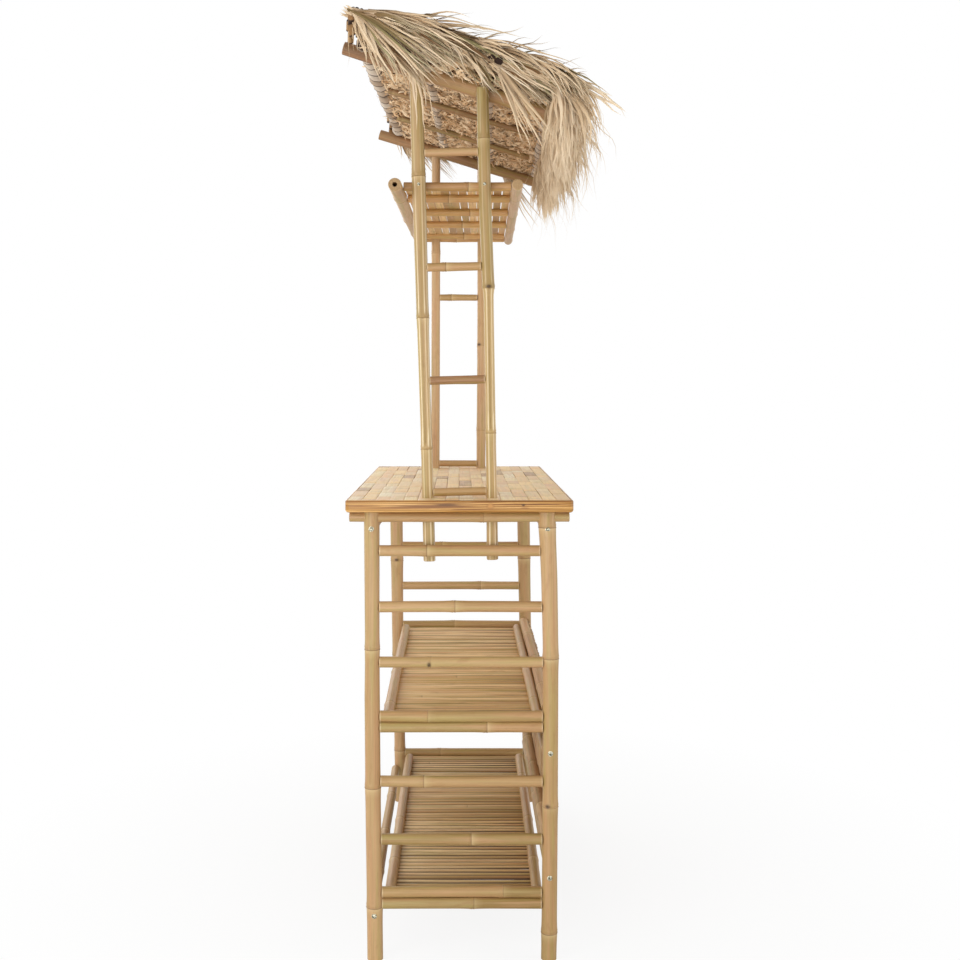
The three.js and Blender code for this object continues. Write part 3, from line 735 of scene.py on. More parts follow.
@dataclass(frozen=True)
class Culm:
    """One bamboo pole: where it runs, where its nodes are, and how straight it grew."""

    axis: Axis
    nodes: Places
    seed: int
    tone: float = 0.5
    tone_spread: float = 0.16
    # Tones of the internodes from the start, where they are known
    tones: Places = ()
    ring_share: float = 0.75
    ribs: float = 0.05 * MM
    flute: float = 0.35 * MM
    flute_angle: float | None = None
    flute_width: float = 0.4
    flute_reach: float = 0.35
    # How deep the flute is in each internode
    flute_shares: Places = (1.0,)
    growth: Growth = STRAIGHT_GROWTH
    bow: float = 0.7 * MM
    kink: float = 0.5 * MM
    bore_share: float = 0.34
    bore_depth: float = 26 * MM
    sides: int = 28
    ring_spacing: float = 14 * MM
    rim: float = 1.0 * MM
    # Scars of side shoots: the node's place and the angle from the left end
    eyes: tuple[tuple[float, float], ...] = ()
    # Painted highlights: how pale the rims of both ends are, and the ridges beside the flute, which
    # gleam also raises a little
    rim_share: float = 0.0
    gleam: float = 0.0

    def rings_along(self) -> Array:
        """Places of the rings: even steps, and close ones round every node.

        Returns:
            Distances from the start, in order.
        """
        length = self.axis.length
        steps = np.linspace(self.rim, length - self.rim, max(3, int(length / self.ring_spacing)))
        close = (np.append(self.nodes, [0.0, length])[:, None] + NODE_RINGS).ravel()
        close = close[(close > 2 * self.rim) & (close < length - 2 * self.rim)]
        far = steps[np.min(np.abs(steps[:, None] - np.append(self.nodes, -1.0)), axis=1) > 15.5 * MM]
        return np.unique(np.concatenate([far, close, steps[[0, -1]]]))

    def surface(self) -> Surface:
        """A circle carried along the axis, whose radius grows into two ridges at each node.

        Returns:
            The closed surface with its grain, tone, node distance, scars, cut ends, and the painted
            shade and highlights of its flute and rims.
        """
        rng = np.random.default_rng(self.seed)
        axis = self.axis
        along = self.rings_along()
        angle = np.arange(self.sides) / self.sides * TURN
        share = along / axis.length
        base = self.girth(along)
        nodes = np.array(self.nodes) if self.nodes else np.array([-1.0])
        gaps = along[:, None] - nodes
        size = (base / (16 * MM))[:, None]
        scar_ridge = 0.8 * MM * bell(gaps, 1.5 * MM)
        groove = -0.4 * MM * bell(gaps - 2.4 * MM, 1.2 * MM)
        upper_ridge = 0.6 * MM * bell(gaps - 5.5 * MM, 3.2 * MM)
        swell = 0.8 * MM * bell(gaps, 20 * MM)
        radius = base + ((scar_ridge + groove + upper_ridge + swell) * np.sqrt(size)).sum(1)

        # A flute runs up from each node on one side, and changes side at the next node
        internode = np.searchsorted(np.sort(nodes), along)
        first = rng.uniform(0, TURN) if self.flute_angle is None else self.flute_angle
        flute_at = first + internode * math.pi * (self.flute_angle is None)
        since = along - np.concatenate([[-0.2], np.sort(nodes)])[internode]
        deep = np.take(self.flute_shares, internode, mode="wrap") * self.flute
        depth = deep * np.exp(-since / self.flute_reach) * smooth_step(0.0, 22 * MM, since)
        turn = np.angle(np.exp(1j * (angle[None] - flute_at[:, None])))
        width = self.flute_width * (0.5 + 0.5 * smooth_step(0.0, 60 * MM, since))[:, None]
        hollow = bell(turn, width) - 0.25 * bell(np.abs(turn) - 1.7 * width, 0.5 * width)
        rib_at = rng.uniform(0, TURN, (len(nodes) + 1, 2))[internode]
        ribs = 0.6 * np.cos(9 * angle[None] + rib_at[:, :1])
        ribs = ribs + 0.4 * np.cos(14 * angle[None] + rib_at[:, 1:])
        ribs = ribs * np.minimum(depth / (2 * MM) + 0.15, 1.0)[:, None]
        ridges = bell(np.abs(turn) - 0.5, 0.12) + bell(turn - 1.15, 0.13)
        rounds = radius[:, None] - depth[:, None] * hollow
        rounds = rounds + self.ribs * (ribs + 1.5 * self.gleam * ridges)
        rounds = rounds * (1 + 0.012 * np.cos(2 * (angle[None] - first)))
        # Painted shade in the flute's hollow and painted highlights on its ridges
        flute_shade_and_highlight = depth[:, None] * hollow / (2.2 * MM) - ribs * self.ribs / (0.5 * MM)
        flute_shade_and_highlight = np.clip(flute_shade_and_highlight - self.gleam * ridges * np.minimum(depth / MM, 1.3)[:, None], -1, 1)

        # The middle line bows a little and turns slightly at each node
        bow_at = rng.uniform(0, TURN)
        kinks = rng.normal(0, self.kink, (len(nodes) + 2, 2))
        kinks[[0, -1]] = 0
        inside = np.sort(np.clip(nodes, MM, axis.length - MM))
        turns = np.concatenate([[0.0], inside, [axis.length]])
        wander = np.stack([np.interp(along, turns, kinks[:, side]) for side in (0, 1)], -1)
        bow = (self.bow * np.sin(math.pi * share))[:, None]
        wander += bow * [math.cos(bow_at), math.sin(bow_at)]
        wander += self.shifts(along)

        # Ring after ring, with the sawn faces and the bore at both ends
        far = axis.length
        front, back = (rounds[end] * self.bore_share for end in (0, -1))
        along_all = np.concatenate([[self.bore_depth, 0, 0], along, [far, far, far - self.bore_depth]])
        faces = ([front, front, rounds[0] - self.rim], [rounds[-1] - self.rim, back, back])
        radii = np.concatenate([faces[0], rounds, faces[1]])
        wander_all = np.pad(wander, ((3, 3), (0, 0)), "edge")
        cut = np.zeros(len(along_all))
        cut[:3] = cut[-3:] = 1.0
        across, over = self.cross_frame()
        x = radii * np.cos(angle) + wander_all[:, :1]
        y = radii * np.sin(angle) + wander_all[:, 1:]
        line = axis.start + along_all[:, None, None] * axis.direction
        rings = line + x[..., None] * across + y[..., None] * over
        shift = rng.uniform(-5, 5, 3)
        grain = np.stack([x, y, spread(along_all[:, None], x.shape)], -1) + shift
        order = np.argmin(np.abs(along_all[:, None] - nodes), 1)
        gap = along_all - nodes[order]
        given = np.array(self.tones) if self.tones else self.tone
        tones = np.clip(given + rng.normal(0, self.tone_spread, len(nodes) + 1) * 0.7, 0, 1)
        tone = tones[np.searchsorted(np.sort(nodes), along_all)]
        strength = np.full(len(nodes), self.ring_share)
        scar_and_gap_shade = np.zeros_like(x)
        for place, eye_angle in self.eyes:
            nearest = np.argmin(np.abs(nodes - place))
            strength[nearest] *= 0.4
            turned = np.angle(np.exp(1j * (angle - eye_angle)))
            away = ((along_all - nodes[nearest] - 4 * MM) / (3.6 * MM))[:, None] ** 2
            mark = 1.7 * np.exp(-away - (turned * base.mean() / (4.6 * MM)) ** 2)
            scar_and_gap_shade = np.maximum(scar_and_gap_shade, np.minimum(mark, 1.0))
        near = np.where(np.abs(gap) < 26 * MM, strength[order], 0.0)
        # The third ring value carries that painted flute shade and highlight, and painted highlights on
        # the rims of both ends
        groove = np.pad(flute_shade_and_highlight, ((3, 3), (0, 0)), "edge")
        from_end = np.minimum(along_all, axis.length - along_all)
        groove = groove - self.rim_share * bell(from_end - MM, 2.6 * MM)[:, None]
        gap, near, tone, cut = (spread(row[:, None], x.shape) for row in (gap, near, tone, cut))
        ring = np.stack([gap, near, groove], -1)
        return tube(rings, {"grain": grain, "tone": tone, "ring": ring, "scar_and_gap_shade": scar_and_gap_shade * 0.9, "cut": cut})

    def girth(self, along: Array | float) -> Array:
        """The grown radius at distances from the start, without the nodes.

        Args:
            along: Distances from the start.

        Returns:
            The radius there.
        """
        axis = self.axis
        base = axis.start_radius + (axis.end_radius - axis.start_radius) * (along / axis.length)
        stops, shares, *_ = np.array(self.growth).T
        return base * np.interp(along, stops, shares)

    def shifts(self, along: Array | float) -> Array:
        """How far the grown middle line lies off the axis, across and over."""
        stops, _, *shifts = np.array(self.growth).T
        return np.stack([np.interp(along, stops, shift) for shift in shifts], -1)

    def joint(self, height: float) -> tuple[Array, float]:
        """The grown middle and radius of an upright pole at a height, without bows and kinks.

        Args:
            height: Height above the floor.

        Returns:
            The middle and the radius.
        """
        along = (height - self.axis.start[2]) / self.axis.direction[2]
        across, over = self.shifts(along)[:, None] * self.cross_frame()
        middle = self.axis.start + along * self.axis.direction + across + over
        return middle, float(self.girth(along))

    def cross_frame(self) -> tuple[Array, Array]:
        """Two unit vectors across the pole, the first as close as it can be to the left end.

        Returns:
            The vectors across and over.
        """
        run = self.axis.direction
        towards = LEFT if abs(run[0]) < 0.7 else FRONT
        across = unit(towards - (towards @ run) * run)
        return across, np.cross(run, across)


def slat_places(low: float, high: float, width: float, gap: float) -> Array:
    """Middles of as many slats as fit between two edges, spread evenly from edge to edge."""
    count = int((high - low + gap) / (width + gap))
    return np.linspace(low + width / 2, high - width / 2, count)


def even_nodes(length: float, spacing: float, seed: int) -> Places:
    """Node places with a natural spread round an even spacing.

    Args:
        length: Length of the pole.
        spacing: Usual distance between two nodes.
        seed: Seed of the random places.

    Returns:
        Distances from the start, all clear of the two ends.
    """
    rng = np.random.default_rng(seed)
    first = rng.uniform(0.25, 0.85) * spacing
    count = int(length / spacing) + 2
    places = first + np.cumsum(np.append(0, spacing * rng.uniform(0.85, 1.15, count)))
    return tuple(float(place) for place in places if END_ROOM < place < length - END_ROOM)


def add_culm(node: str, seed: int, spacing: float = 300 * MM, **traits: object) -> None:
    """Replaces one pole node by a grown culm.

    Args:
        node: Name of the pole's node, which the piece stands for.
        seed: Seed of what grew at random.
        spacing: Usual distance between nodes, where traits gives no nodes.
        traits: Fields of Culm that differ from the usual ones, extra lengths, the two upright poles
            that it runs between, its node's place, and a finish.
    """
    planned = Axis.of(node)
    axis = planned.extended(*traits.pop("extra", (0.0, 0.0)))
    if "between" in traits:
        front, back = (pole.joint(float(axis.start[2])) for pole in traits.pop("between"))
        near, far = front[0][1] + front[1] - JOINT_BITE, back[0][1] - back[1] + JOINT_BITE
        axis = axis.extended(float(axis.start[1]) - near, far - float(axis.end[1]))
        # A rung between two poles gets painted highlights on the rims of its ends
        traits = {"rim_share": 0.5, **traits}
    if "node_shift" in traits:
        middle = float(planned.start[1] + planned.end[1]) / 2
        traits["nodes"] = (middle + traits.pop("node_shift") - float(axis.start[1]),)
    finish = traits.pop("finish", POLE_FINISH)
    if "nodes" not in traits:
        traits["nodes"] = even_nodes(axis.length, spacing, seed)
    culm = Culm(axis, seed=seed, **traits)
    make_piece(f"{node}_culm", culm.surface(), finish.material(), (node,))


def strips(
    middles: Array, run: Array, rise: Array, lengths: Array, width: Array | float, thickness: float,
    crown: float, seed: int, tones: Array | None = None, segments: int = 10, wave: float = 0.4 * MM,
    edge: float = 0.04, edge_drop: float = 0.22, tilt: float = 0.0, node_share: float = 0.2,
    edge_dark: Array | float = 0.0, edge_spread: float = 0.0, edge_fade: float = 0.0,
    tone_rise: float = 0.0,
) -> Surface:
    """Many straight strips of split bamboo with a crowned upper side.

    The section is a rectangle with rounded upper corners whose upper side is raised to an arc. It
    is carried along each strip, which waves a little and varies in width.

    Args:
        middles: Middle of each strip's underside as (strip, 3).
        run: Unit vector along the strips.
        rise: Unit vector out of their upper side.
        lengths: Length of each strip.
        width: Width of the strips.
        thickness: Thickness at the edges.
        crown: Extra thickness at the middle.
        seed: Seed of the waves and tones.
        tones: Tone of each strip, from 0 to 1.
        segments: Steps along each strip.
        wave: How far a strip wanders.
        edge: Width of the rounded edges, as a share of the width.
        edge_drop: Height of the rounded edges, as a share of the thickness.
        tilt: Usual lean of a strip to one side, in radians.
        node_share: Share of the strips that show a node.
        edge_dark: Painted shade at the side edges of each strip, where it meets the next, from 0 to 1.
        edge_spread: Share of that painted shade a little farther in.
        edge_fade: Share of that painted shade which is lost towards the end of a strip.
        tone_rise: Rise of the tone from a strip's start to its end, painting shade at the start.

    Returns:
        The closed strips.
    """
    rng = np.random.default_rng(seed)
    count = len(middles)
    side = np.cross(rise, run)
    inner = 0.5 - edge
    share = np.array([0.5, 0.5, inner, 0.38, 0.24, 0.08, -0.08, -0.24, -0.38, -inner, -0.5, -0.5])
    level = np.array([0, 1 - edge_drop] + [1.0] * 8 + [1 - edge_drop, 0])
    height = level * thickness + crown * (1 - (2 * share) ** 2) * (level >= 1)
    t = np.concatenate([[0.0], np.linspace(0.004, 0.996, segments), [1.0]])
    squeeze = np.ones_like(t)
    squeeze[[0, -1]] = 0.93
    phase = rng.uniform(0, TURN, (count, 2))
    bend = np.sin(t[None] * math.pi * 1.3 + phase[:, :1]) * wave
    lift = np.sin(t[None] * math.pi * 1.1 + phase[:, 1:]) * wave * 0.6
    scale = rng.uniform(0.94, 1.02, (count, 1, 1)) * squeeze[None, :, None]
    widths = np.broadcast_to(width, (count,))[:, None, None]
    across = share[None, None] * widths * scale + bend[..., None]
    up = height[None, None] * scale + lift[..., None]
    up = up + across * rng.normal(0, tilt, count)[:, None, None]
    place = (t[None] - 0.5) * np.asarray(lengths)[:, None]
    line = middles[:, None, None] + place[..., None, None] * run
    rings = line + across[..., None] * side + up[..., None] * rise
    shift = rng.uniform(-6, 6, (count, 1, 1, 3))
    shape = up.shape
    local = np.stack([spread(across, shape), up, spread(place[..., None], shape)], -1)
    if tones is None:
        tones = rng.uniform(0, 1, count)
    node_at = rng.uniform(-0.5, 0.5, count) * np.asarray(lengths)
    node_at[rng.random(count) > node_share] = 9.0
    gap = spread((place - node_at[:, None])[..., None], shape)
    # Painted shade along the side edges, where one strip meets the next, fading towards the end
    sides = np.array([1.0, 1.0, 0.85, edge_spread] + [0.0] * 4 + [edge_spread, 0.85, 1.0, 1.0])
    dark = np.broadcast_to(edge_dark, (count,))[:, None, None] * (1 - edge_fade * t)[:, None] * sides
    values = {
        "grain": local + shift,
        "tone": spread(tones[:, None, None] + tone_rise * (t - 0.5)[:, None], shape),
        "ring": np.stack([gap, np.full(shape, 0.6), np.zeros(shape)], -1), "scar_and_gap_shade": spread(dark, shape),
        "cut": spread((np.abs(t - 0.5) > 0.498)[None, :, None], shape).astype(float),
    }
    return tubes(rings, rings[:, 0].mean(1), rings[:, -1].mean(1), values)


# Palm leaf


def within_reach(points: Array) -> Array:
    """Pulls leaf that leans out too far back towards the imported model's box.

    Past an inner limit, a distance grows only as one minus the exponential of minus itself, so it
    never gets past the outer limit.

    Args:
        points: Points of leaf.

    Returns:
        The points, none of them past the outer limit.
    """
    low, high = np.array(CAD_BOX)
    margin, room = np.array([4, 12, 40]) * MM, np.array([34, 24, 50]) * MM
    over, under = points - (high - margin), (low + margin) - points
    points = np.where(over > 0, high - margin + room * (1 - np.exp(-over / room)), points)
    return np.where(under > 0, low + margin - room * (1 - np.exp(-under / room)), points)


@dataclass(frozen=True)
class Blades:
    """Loose leaf blades: narrow three-sided strips that leave a root, bend down and end in a point."""

    segments: int = 8
    thickness_share: float = 0.28
    # Width at the root as a share of the greatest width
    root_share: float = 0.6

    def surface(
        self, roots: Array, aims: Array, facing: Array, lengths: Array, widths: Array, droop: Array,
        tones: Array, shade: Array, seed: int, crinkle: float = 1.5 * MM,
    ) -> Surface:
        """Carries a flat triangle along the path that each blade takes.

        The path starts along its aim and turns towards straight down by its droop times the run to
        the power of 1.4, with a small sideways wave. The width rises from the root, then falls to
        the tip as one minus the run to the power of 1.8.

        Args:
            roots: Where each blade starts, as (blade, 3).
            aims: Its first direction.
            facing: The direction that its flat side faces.
            lengths: Its length.
            widths: Its greatest width.
            droop: How far it turns down, from 0 to about 2.
            tones: Its tone, from 0 to 1.
            shade: How dark its root is, from 0 to 1.
            seed: Seed of waves and twists.
            crinkle: Size of the sideways wave.

        Returns:
            The closed blades.
        """
        rng = np.random.default_rng(seed)
        count = len(roots)
        t = np.linspace(0, 1, self.segments + 1)
        fall = (droop[:, None] * t[None] ** 1.4)[..., None]
        direction = unit(unit(aims)[:, None] * np.maximum(1 - fall, 0.05) - UP * fall)
        steps = direction * (lengths / self.segments)[:, None, None]
        path = roots[:, None] + np.cumsum(steps, 1) - steps[:, :1]
        side = unit(np.cross(facing, direction[:, 0]))[:, None]
        side = unit(side - (side * direction).sum(-1, keepdims=True) * direction)
        over = np.cross(direction, side)
        twist = (rng.normal(0, 0.35, (count, 1)) + rng.normal(0, 0.8, (count, 1)) * t[None])[..., None]
        cosine, sine = np.cos(twist), np.sin(twist)
        side, over = side * cosine + over * sine, over * cosine - side * sine
        waves = rng.uniform(1.5, 4.0, (count, 2, 1)) * TURN / 2
        phases = rng.uniform(0, TURN, (count, 2, 1))
        sway = np.sin(waves * t + phases) * t * crinkle
        path = within_reach(path + side * sway[:, 0, :, None] + over * sway[:, 1, :, None])
        profile = np.minimum(self.root_share + 2.4 * t, 1.0) * (1 - t**1.8 * 0.94)
        half = (widths[:, None] * profile[None] / 2)[..., None]
        thick = half * self.thickness_share * 2
        rings = np.stack([path + side * half, path + over * thick, path - side * half], 2)
        shape = rings.shape[:3]
        run = spread(t[None, :, None], shape)
        sideways = spread(np.array([0.5, 0.0, -0.5]), shape) * widths[:, None, None]
        local = np.stack([sideways, np.zeros(shape), run * lengths[:, None, None]], -1)
        values = {
            "grain": local + rng.uniform(-3, 3, (count, 1, 1, 3)),
            "tone": spread(tones[:, None, None], shape), "run": run,
            "shade": spread(shade[:, None, None], shape) * (1 - smooth_step(0.0, 0.7, run)),
        }
        tips = path[:, -1] + direction[:, -1] * (lengths * 0.03)[:, None]
        return tubes(rings, path[:, 0], tips, values)


BLADES = Blades()


@dataclass(frozen=True)
class LeafRoll:
    """A stick wrapped in folded leaf: each wrap laps over the next, with a painted shade line between.
    """

    start: Array
    end: Array
    radius: float
    end_radius: float
    seed: int
    pitch: float = 60 * MM
    lap: float = 0.17
    sides: int = 20
    tone: float = 0.5
    roughness: float = 1.0

    def surface(self) -> Surface:
        """A tube of cones: the radius rises along each wrap and falls at once where the next starts.

        Returns:
            The closed tube.
        """
        rng = np.random.default_rng(self.seed)
        run = self.end - self.start
        length = float(np.linalg.norm(run))
        wraps = max(2, round(length / self.pitch))
        steps = np.array([0.0, 0.035, 0.09, 0.14, 0.3, 0.6, 0.84, 0.92, 0.985])
        edges = np.append(0.0, np.cumsum(rng.uniform(0.8, 1.2, wraps)))
        edges = edges / edges[-1] * length
        index = np.repeat(np.arange(wraps), len(steps))
        within = np.tile(steps, wraps)
        along = edges[index] + within * np.diff(edges)[index]
        base = self.radius + (self.end_radius - self.radius) * along / length
        size = 1 + rng.normal(0, 0.03, wraps)[index] * self.roughness
        level = np.interp(within, [0.0, 0.035, 0.08, 1.0], [-1.0, -0.9, 0.0, 1.0])
        radius = base * size * (1 + self.lap * (level - 0.5))
        shift = rng.normal(0, 0.8 * MM, (wraps, 2))[index] * self.roughness
        angle = np.arange(self.sides) / self.sides * TURN
        lobe_at = rng.uniform(0, TURN, wraps)[index][:, None]
        lobes = 1 + 0.035 * self.roughness * np.sin(3 * angle[None] + lobe_at)
        lobes = lobes + 0.03 * np.sin(7 * angle[None] + 2.3 * lobe_at)
        lean = rng.normal(0.12, 0.10, wraps)[index] * self.roughness
        direction = run / length
        across = unit(np.cross(direction, UP))
        over = np.cross(direction, across)
        x = radius[:, None] * np.cos(angle) * lobes + shift[:, :1]
        y = radius[:, None] * np.sin(angle) * lobes + shift[:, 1:]
        skewed = along[:, None] + lean[:, None] * y
        rings = self.start + skewed[..., None] * direction + x[..., None] * across + y[..., None] * over
        shape = x.shape
        tones = np.clip(self.tone + rng.normal(0, 0.25, wraps), 0, 1)[index]
        # Painted shade where each wrap laps over the next; the end caps take the first and last rings'
        # shade, so they are painted dark too
        stops = [0.0, 0.05, 0.1, 0.3, 0.84, 0.92, 1.0]
        dark = np.interp(within, stops, [1.0, 1.0, 0.35, 0.1, 0.0, 0.9, 1.0])
        values = {
            "grain": np.stack([skewed, x * 0.2, y * 0.2], -1) + rng.uniform(-3, 3, 3),
            "tone": spread(tones[:, None], shape), "run": np.zeros(shape),
            "shade": spread(dark[:, None], shape),
        }
        return tube(rings, values, self.start, self.end)


# Sub-assemblies


@dataclass
class LegFrames:
    """The two ladder-like ends: tapered legs, seven rungs each, and a top rung through the legs."""

    # Heights of nodes above the floor
    leg_nodes: dict[str, Places] = table(
        left_back=(0.120, 0.392, 0.707), left_front=(0.061, 0.348, 0.686, 0.985),
        right_back=(0.16, 0.46, 0.757), right_front=(0.15, 0.465, 0.764),
    )
    # How each leg grew: height, share of the radius, shift to the left and to the customers
    growth: dict[str, Growth] = table(
        left_back=grown(
            (0.0, 0.98, 0, 8), (0.3, 0.93, 0, 4), (0.6, 0.9, 0, 1), (0.7, 0.84, 0, 1), (1.0, 0.88, 0, 0)
        ),
        left_front=grown(
            (0.0, 0.96, 0, 4), (0.3, 0.92, 0, 6), (0.7, 0.9, 0, 8), (0.87, 0.93, 0, 5),
            (1.0, 0.95, 0, 0),
        ),
        right_back=grown((0.0, 0.9, 0, 14), (0.17, 0.9, 0, 12), (0.55, 0.92, 0, 5), (1.02, 1.0, 0, 0)),
        right_front=grown(
            (0.0, 0.95, 0, 19), (0.17, 0.95, 0, 17), (0.55, 0.95, 0, 8), (1.02, 1.0, 0, 0)
        ),
    )
    # Scars: height, and angle from the left end
    eyes: dict[str, tuple[Places, ...]] = table(left_front=((0.348, -0.4),), right_back=((0.757, 0.0),))
    # Places of the one node of each left rung, towards the barkeeper's side from the middle
    near_rung_nodes: Places = (0.074, 0.010, 0.065, -0.063, 0.081, -0.027, -0.033)
    near_tones: Places = (0.6, 0.75, 0.6, 0.35, 0.6, 0.15, 0.1)
    near_ring_shares: Places = (0.8, 0.6, 0.3, 0.8, 0.7, 0.8, 0.5)

    def build(self) -> None:
        """Builds every leg and rung."""
        for index, (place, heights) in enumerate(self.leg_nodes.items()):
            is_front = place.endswith("front")
            add_culm(
                f"leg_{place}", 11 + index * 7, nodes=heights, tone=0.55 if is_front else 0.7,
                tones=(0.25, 0.25, 0.5, 0.65, 0.65) if place == "left_front" else (), flute=0.9 * MM,
                eyes=self.eyes.get(place, ()), flute_angle=0.35 if is_front else -0.25,
                growth=self.growth[place], sides=36,
            )
        for side in ("left", "right"):
            for number in range(1, 8):
                self.build_rung(side, number)
            seed = 60 + len(side)
            add_culm(f"top_rung_{side}", seed, 0.24, tone=0.6, bore_share=0.3, ring_share=0.25)

    def leg(self, place: str) -> Culm:
        """One leg as it grew."""
        return Culm(Axis.of(f"leg_{place}"), (), 0, growth=self.growth[place])

    def build_rung(self, side: str, number: int) -> None:
        """Builds one rung with its node where the near one shows it.

        Args:
            side: The end of the bar.
            number: The rung's number, from 1 at the top.
        """
        node = f"leg_rung_{side}_{number}"
        is_near = side == "left"
        place = (-1) ** number * (0.03 + 0.012 * number)
        place = self.near_rung_nodes[number - 1] if is_near else place
        add_culm(
            node, 70 + number + 20 * (side == "right"),
            between=(self.leg(f"{side}_front"), self.leg(f"{side}_back")), node_shift=place,
            tone=self.near_tones[number - 1] if is_near else 0.35 + 0.06 * (number % 4),
            ring_share=self.near_ring_shares[number - 1] if is_near else 0.6,
            eyes=((9.0, -0.3),) if (side, number) == ("left", 3) else (), bore_share=0.3,
        )


@dataclass
class LongPoles:
    """The aprons and stretchers that join the two leg frames."""

    names: tuple[str, ...] = (
        "apron_front", "apron_back", "stretcher_back", "stretcher_front_upper", "stretcher_front_lower"
    )
    # How far a pole lies nearer to the customers than planned
    shifts: dict[str, float] = table(stretcher_front_lower=9 * MM)

    def build(self) -> None:
        """Builds every long pole between the leg frames."""
        for index, name in enumerate(self.names):
            growth = ((0.0, 1.0, self.shifts.get(name, 0.0), 0.0),)
            tone = 0.45 + 0.05 * (index % 3)
            add_culm(name, 120 + index, 0.31, tone=tone, bow=1.5 * MM, growth=growth)


@dataclass
class FrontScreen:
    """Upright split slats on two long poles, on the customers' side."""

    slat_width: float = 30 * MM
    slat_gap: float = 3 * MM
    slat_thickness: float = 7 * MM
    pole_diameter: float = 26 * MM
    pole_heights: Places = (0.567, 0.26985)
    pole_inset: float = 1 * MM
    node_spacing: float = 300 * MM
    slat_bite: float = 1.5 * MM
    slat_height: float = 394 * MM

    def build(self) -> None:
        """Builds the poles and the slats as one piece that stands for the screen's node."""
        low, high = corners_of(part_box("front_screen"))
        radius = self.pole_diameter / 2
        slat_back = low[1] + self.slat_thickness
        pole_y = slat_back - self.slat_bite + radius
        pieces = []
        for index, height in enumerate(self.pole_heights):
            start = np.array([low[0] + self.pole_inset, pole_y, height])
            end = np.array([high[0] - self.pole_inset, pole_y, height])
            axis = Axis(start, end, radius, radius)
            nodes = even_nodes(axis.length, self.node_spacing, 140 + index)
            pieces.append(Culm(axis, nodes, 140 + index).surface())
        centres = slat_places(low[0], high[0], self.slat_width, self.slat_gap)
        count = len(centres)
        rng = np.random.default_rng(31)
        tops = rng.uniform(-4 * MM, 0.0, count)
        slat_top = min(high[2], low[2] + self.slat_height)
        middles = np.stack([centres, np.full(count, slat_back), (low[2] + slat_top + tops) / 2], -1)
        slats = strips(
            middles, UP, FRONT, slat_top - low[2] + tops,
            self.slat_width * rng.uniform(0.92, 1.04, count), self.slat_thickness * 0.5,
            self.slat_thickness * 0.45, 32, segments=20, wave=0.9 * MM, tilt=0.05, node_share=0.8,
        )
        surface = Surface.joined([*pieces, slats])
        finish = SCREEN_FINISH.material()
        make_piece("front_screen_slats", surface, finish, ("front_screen",))


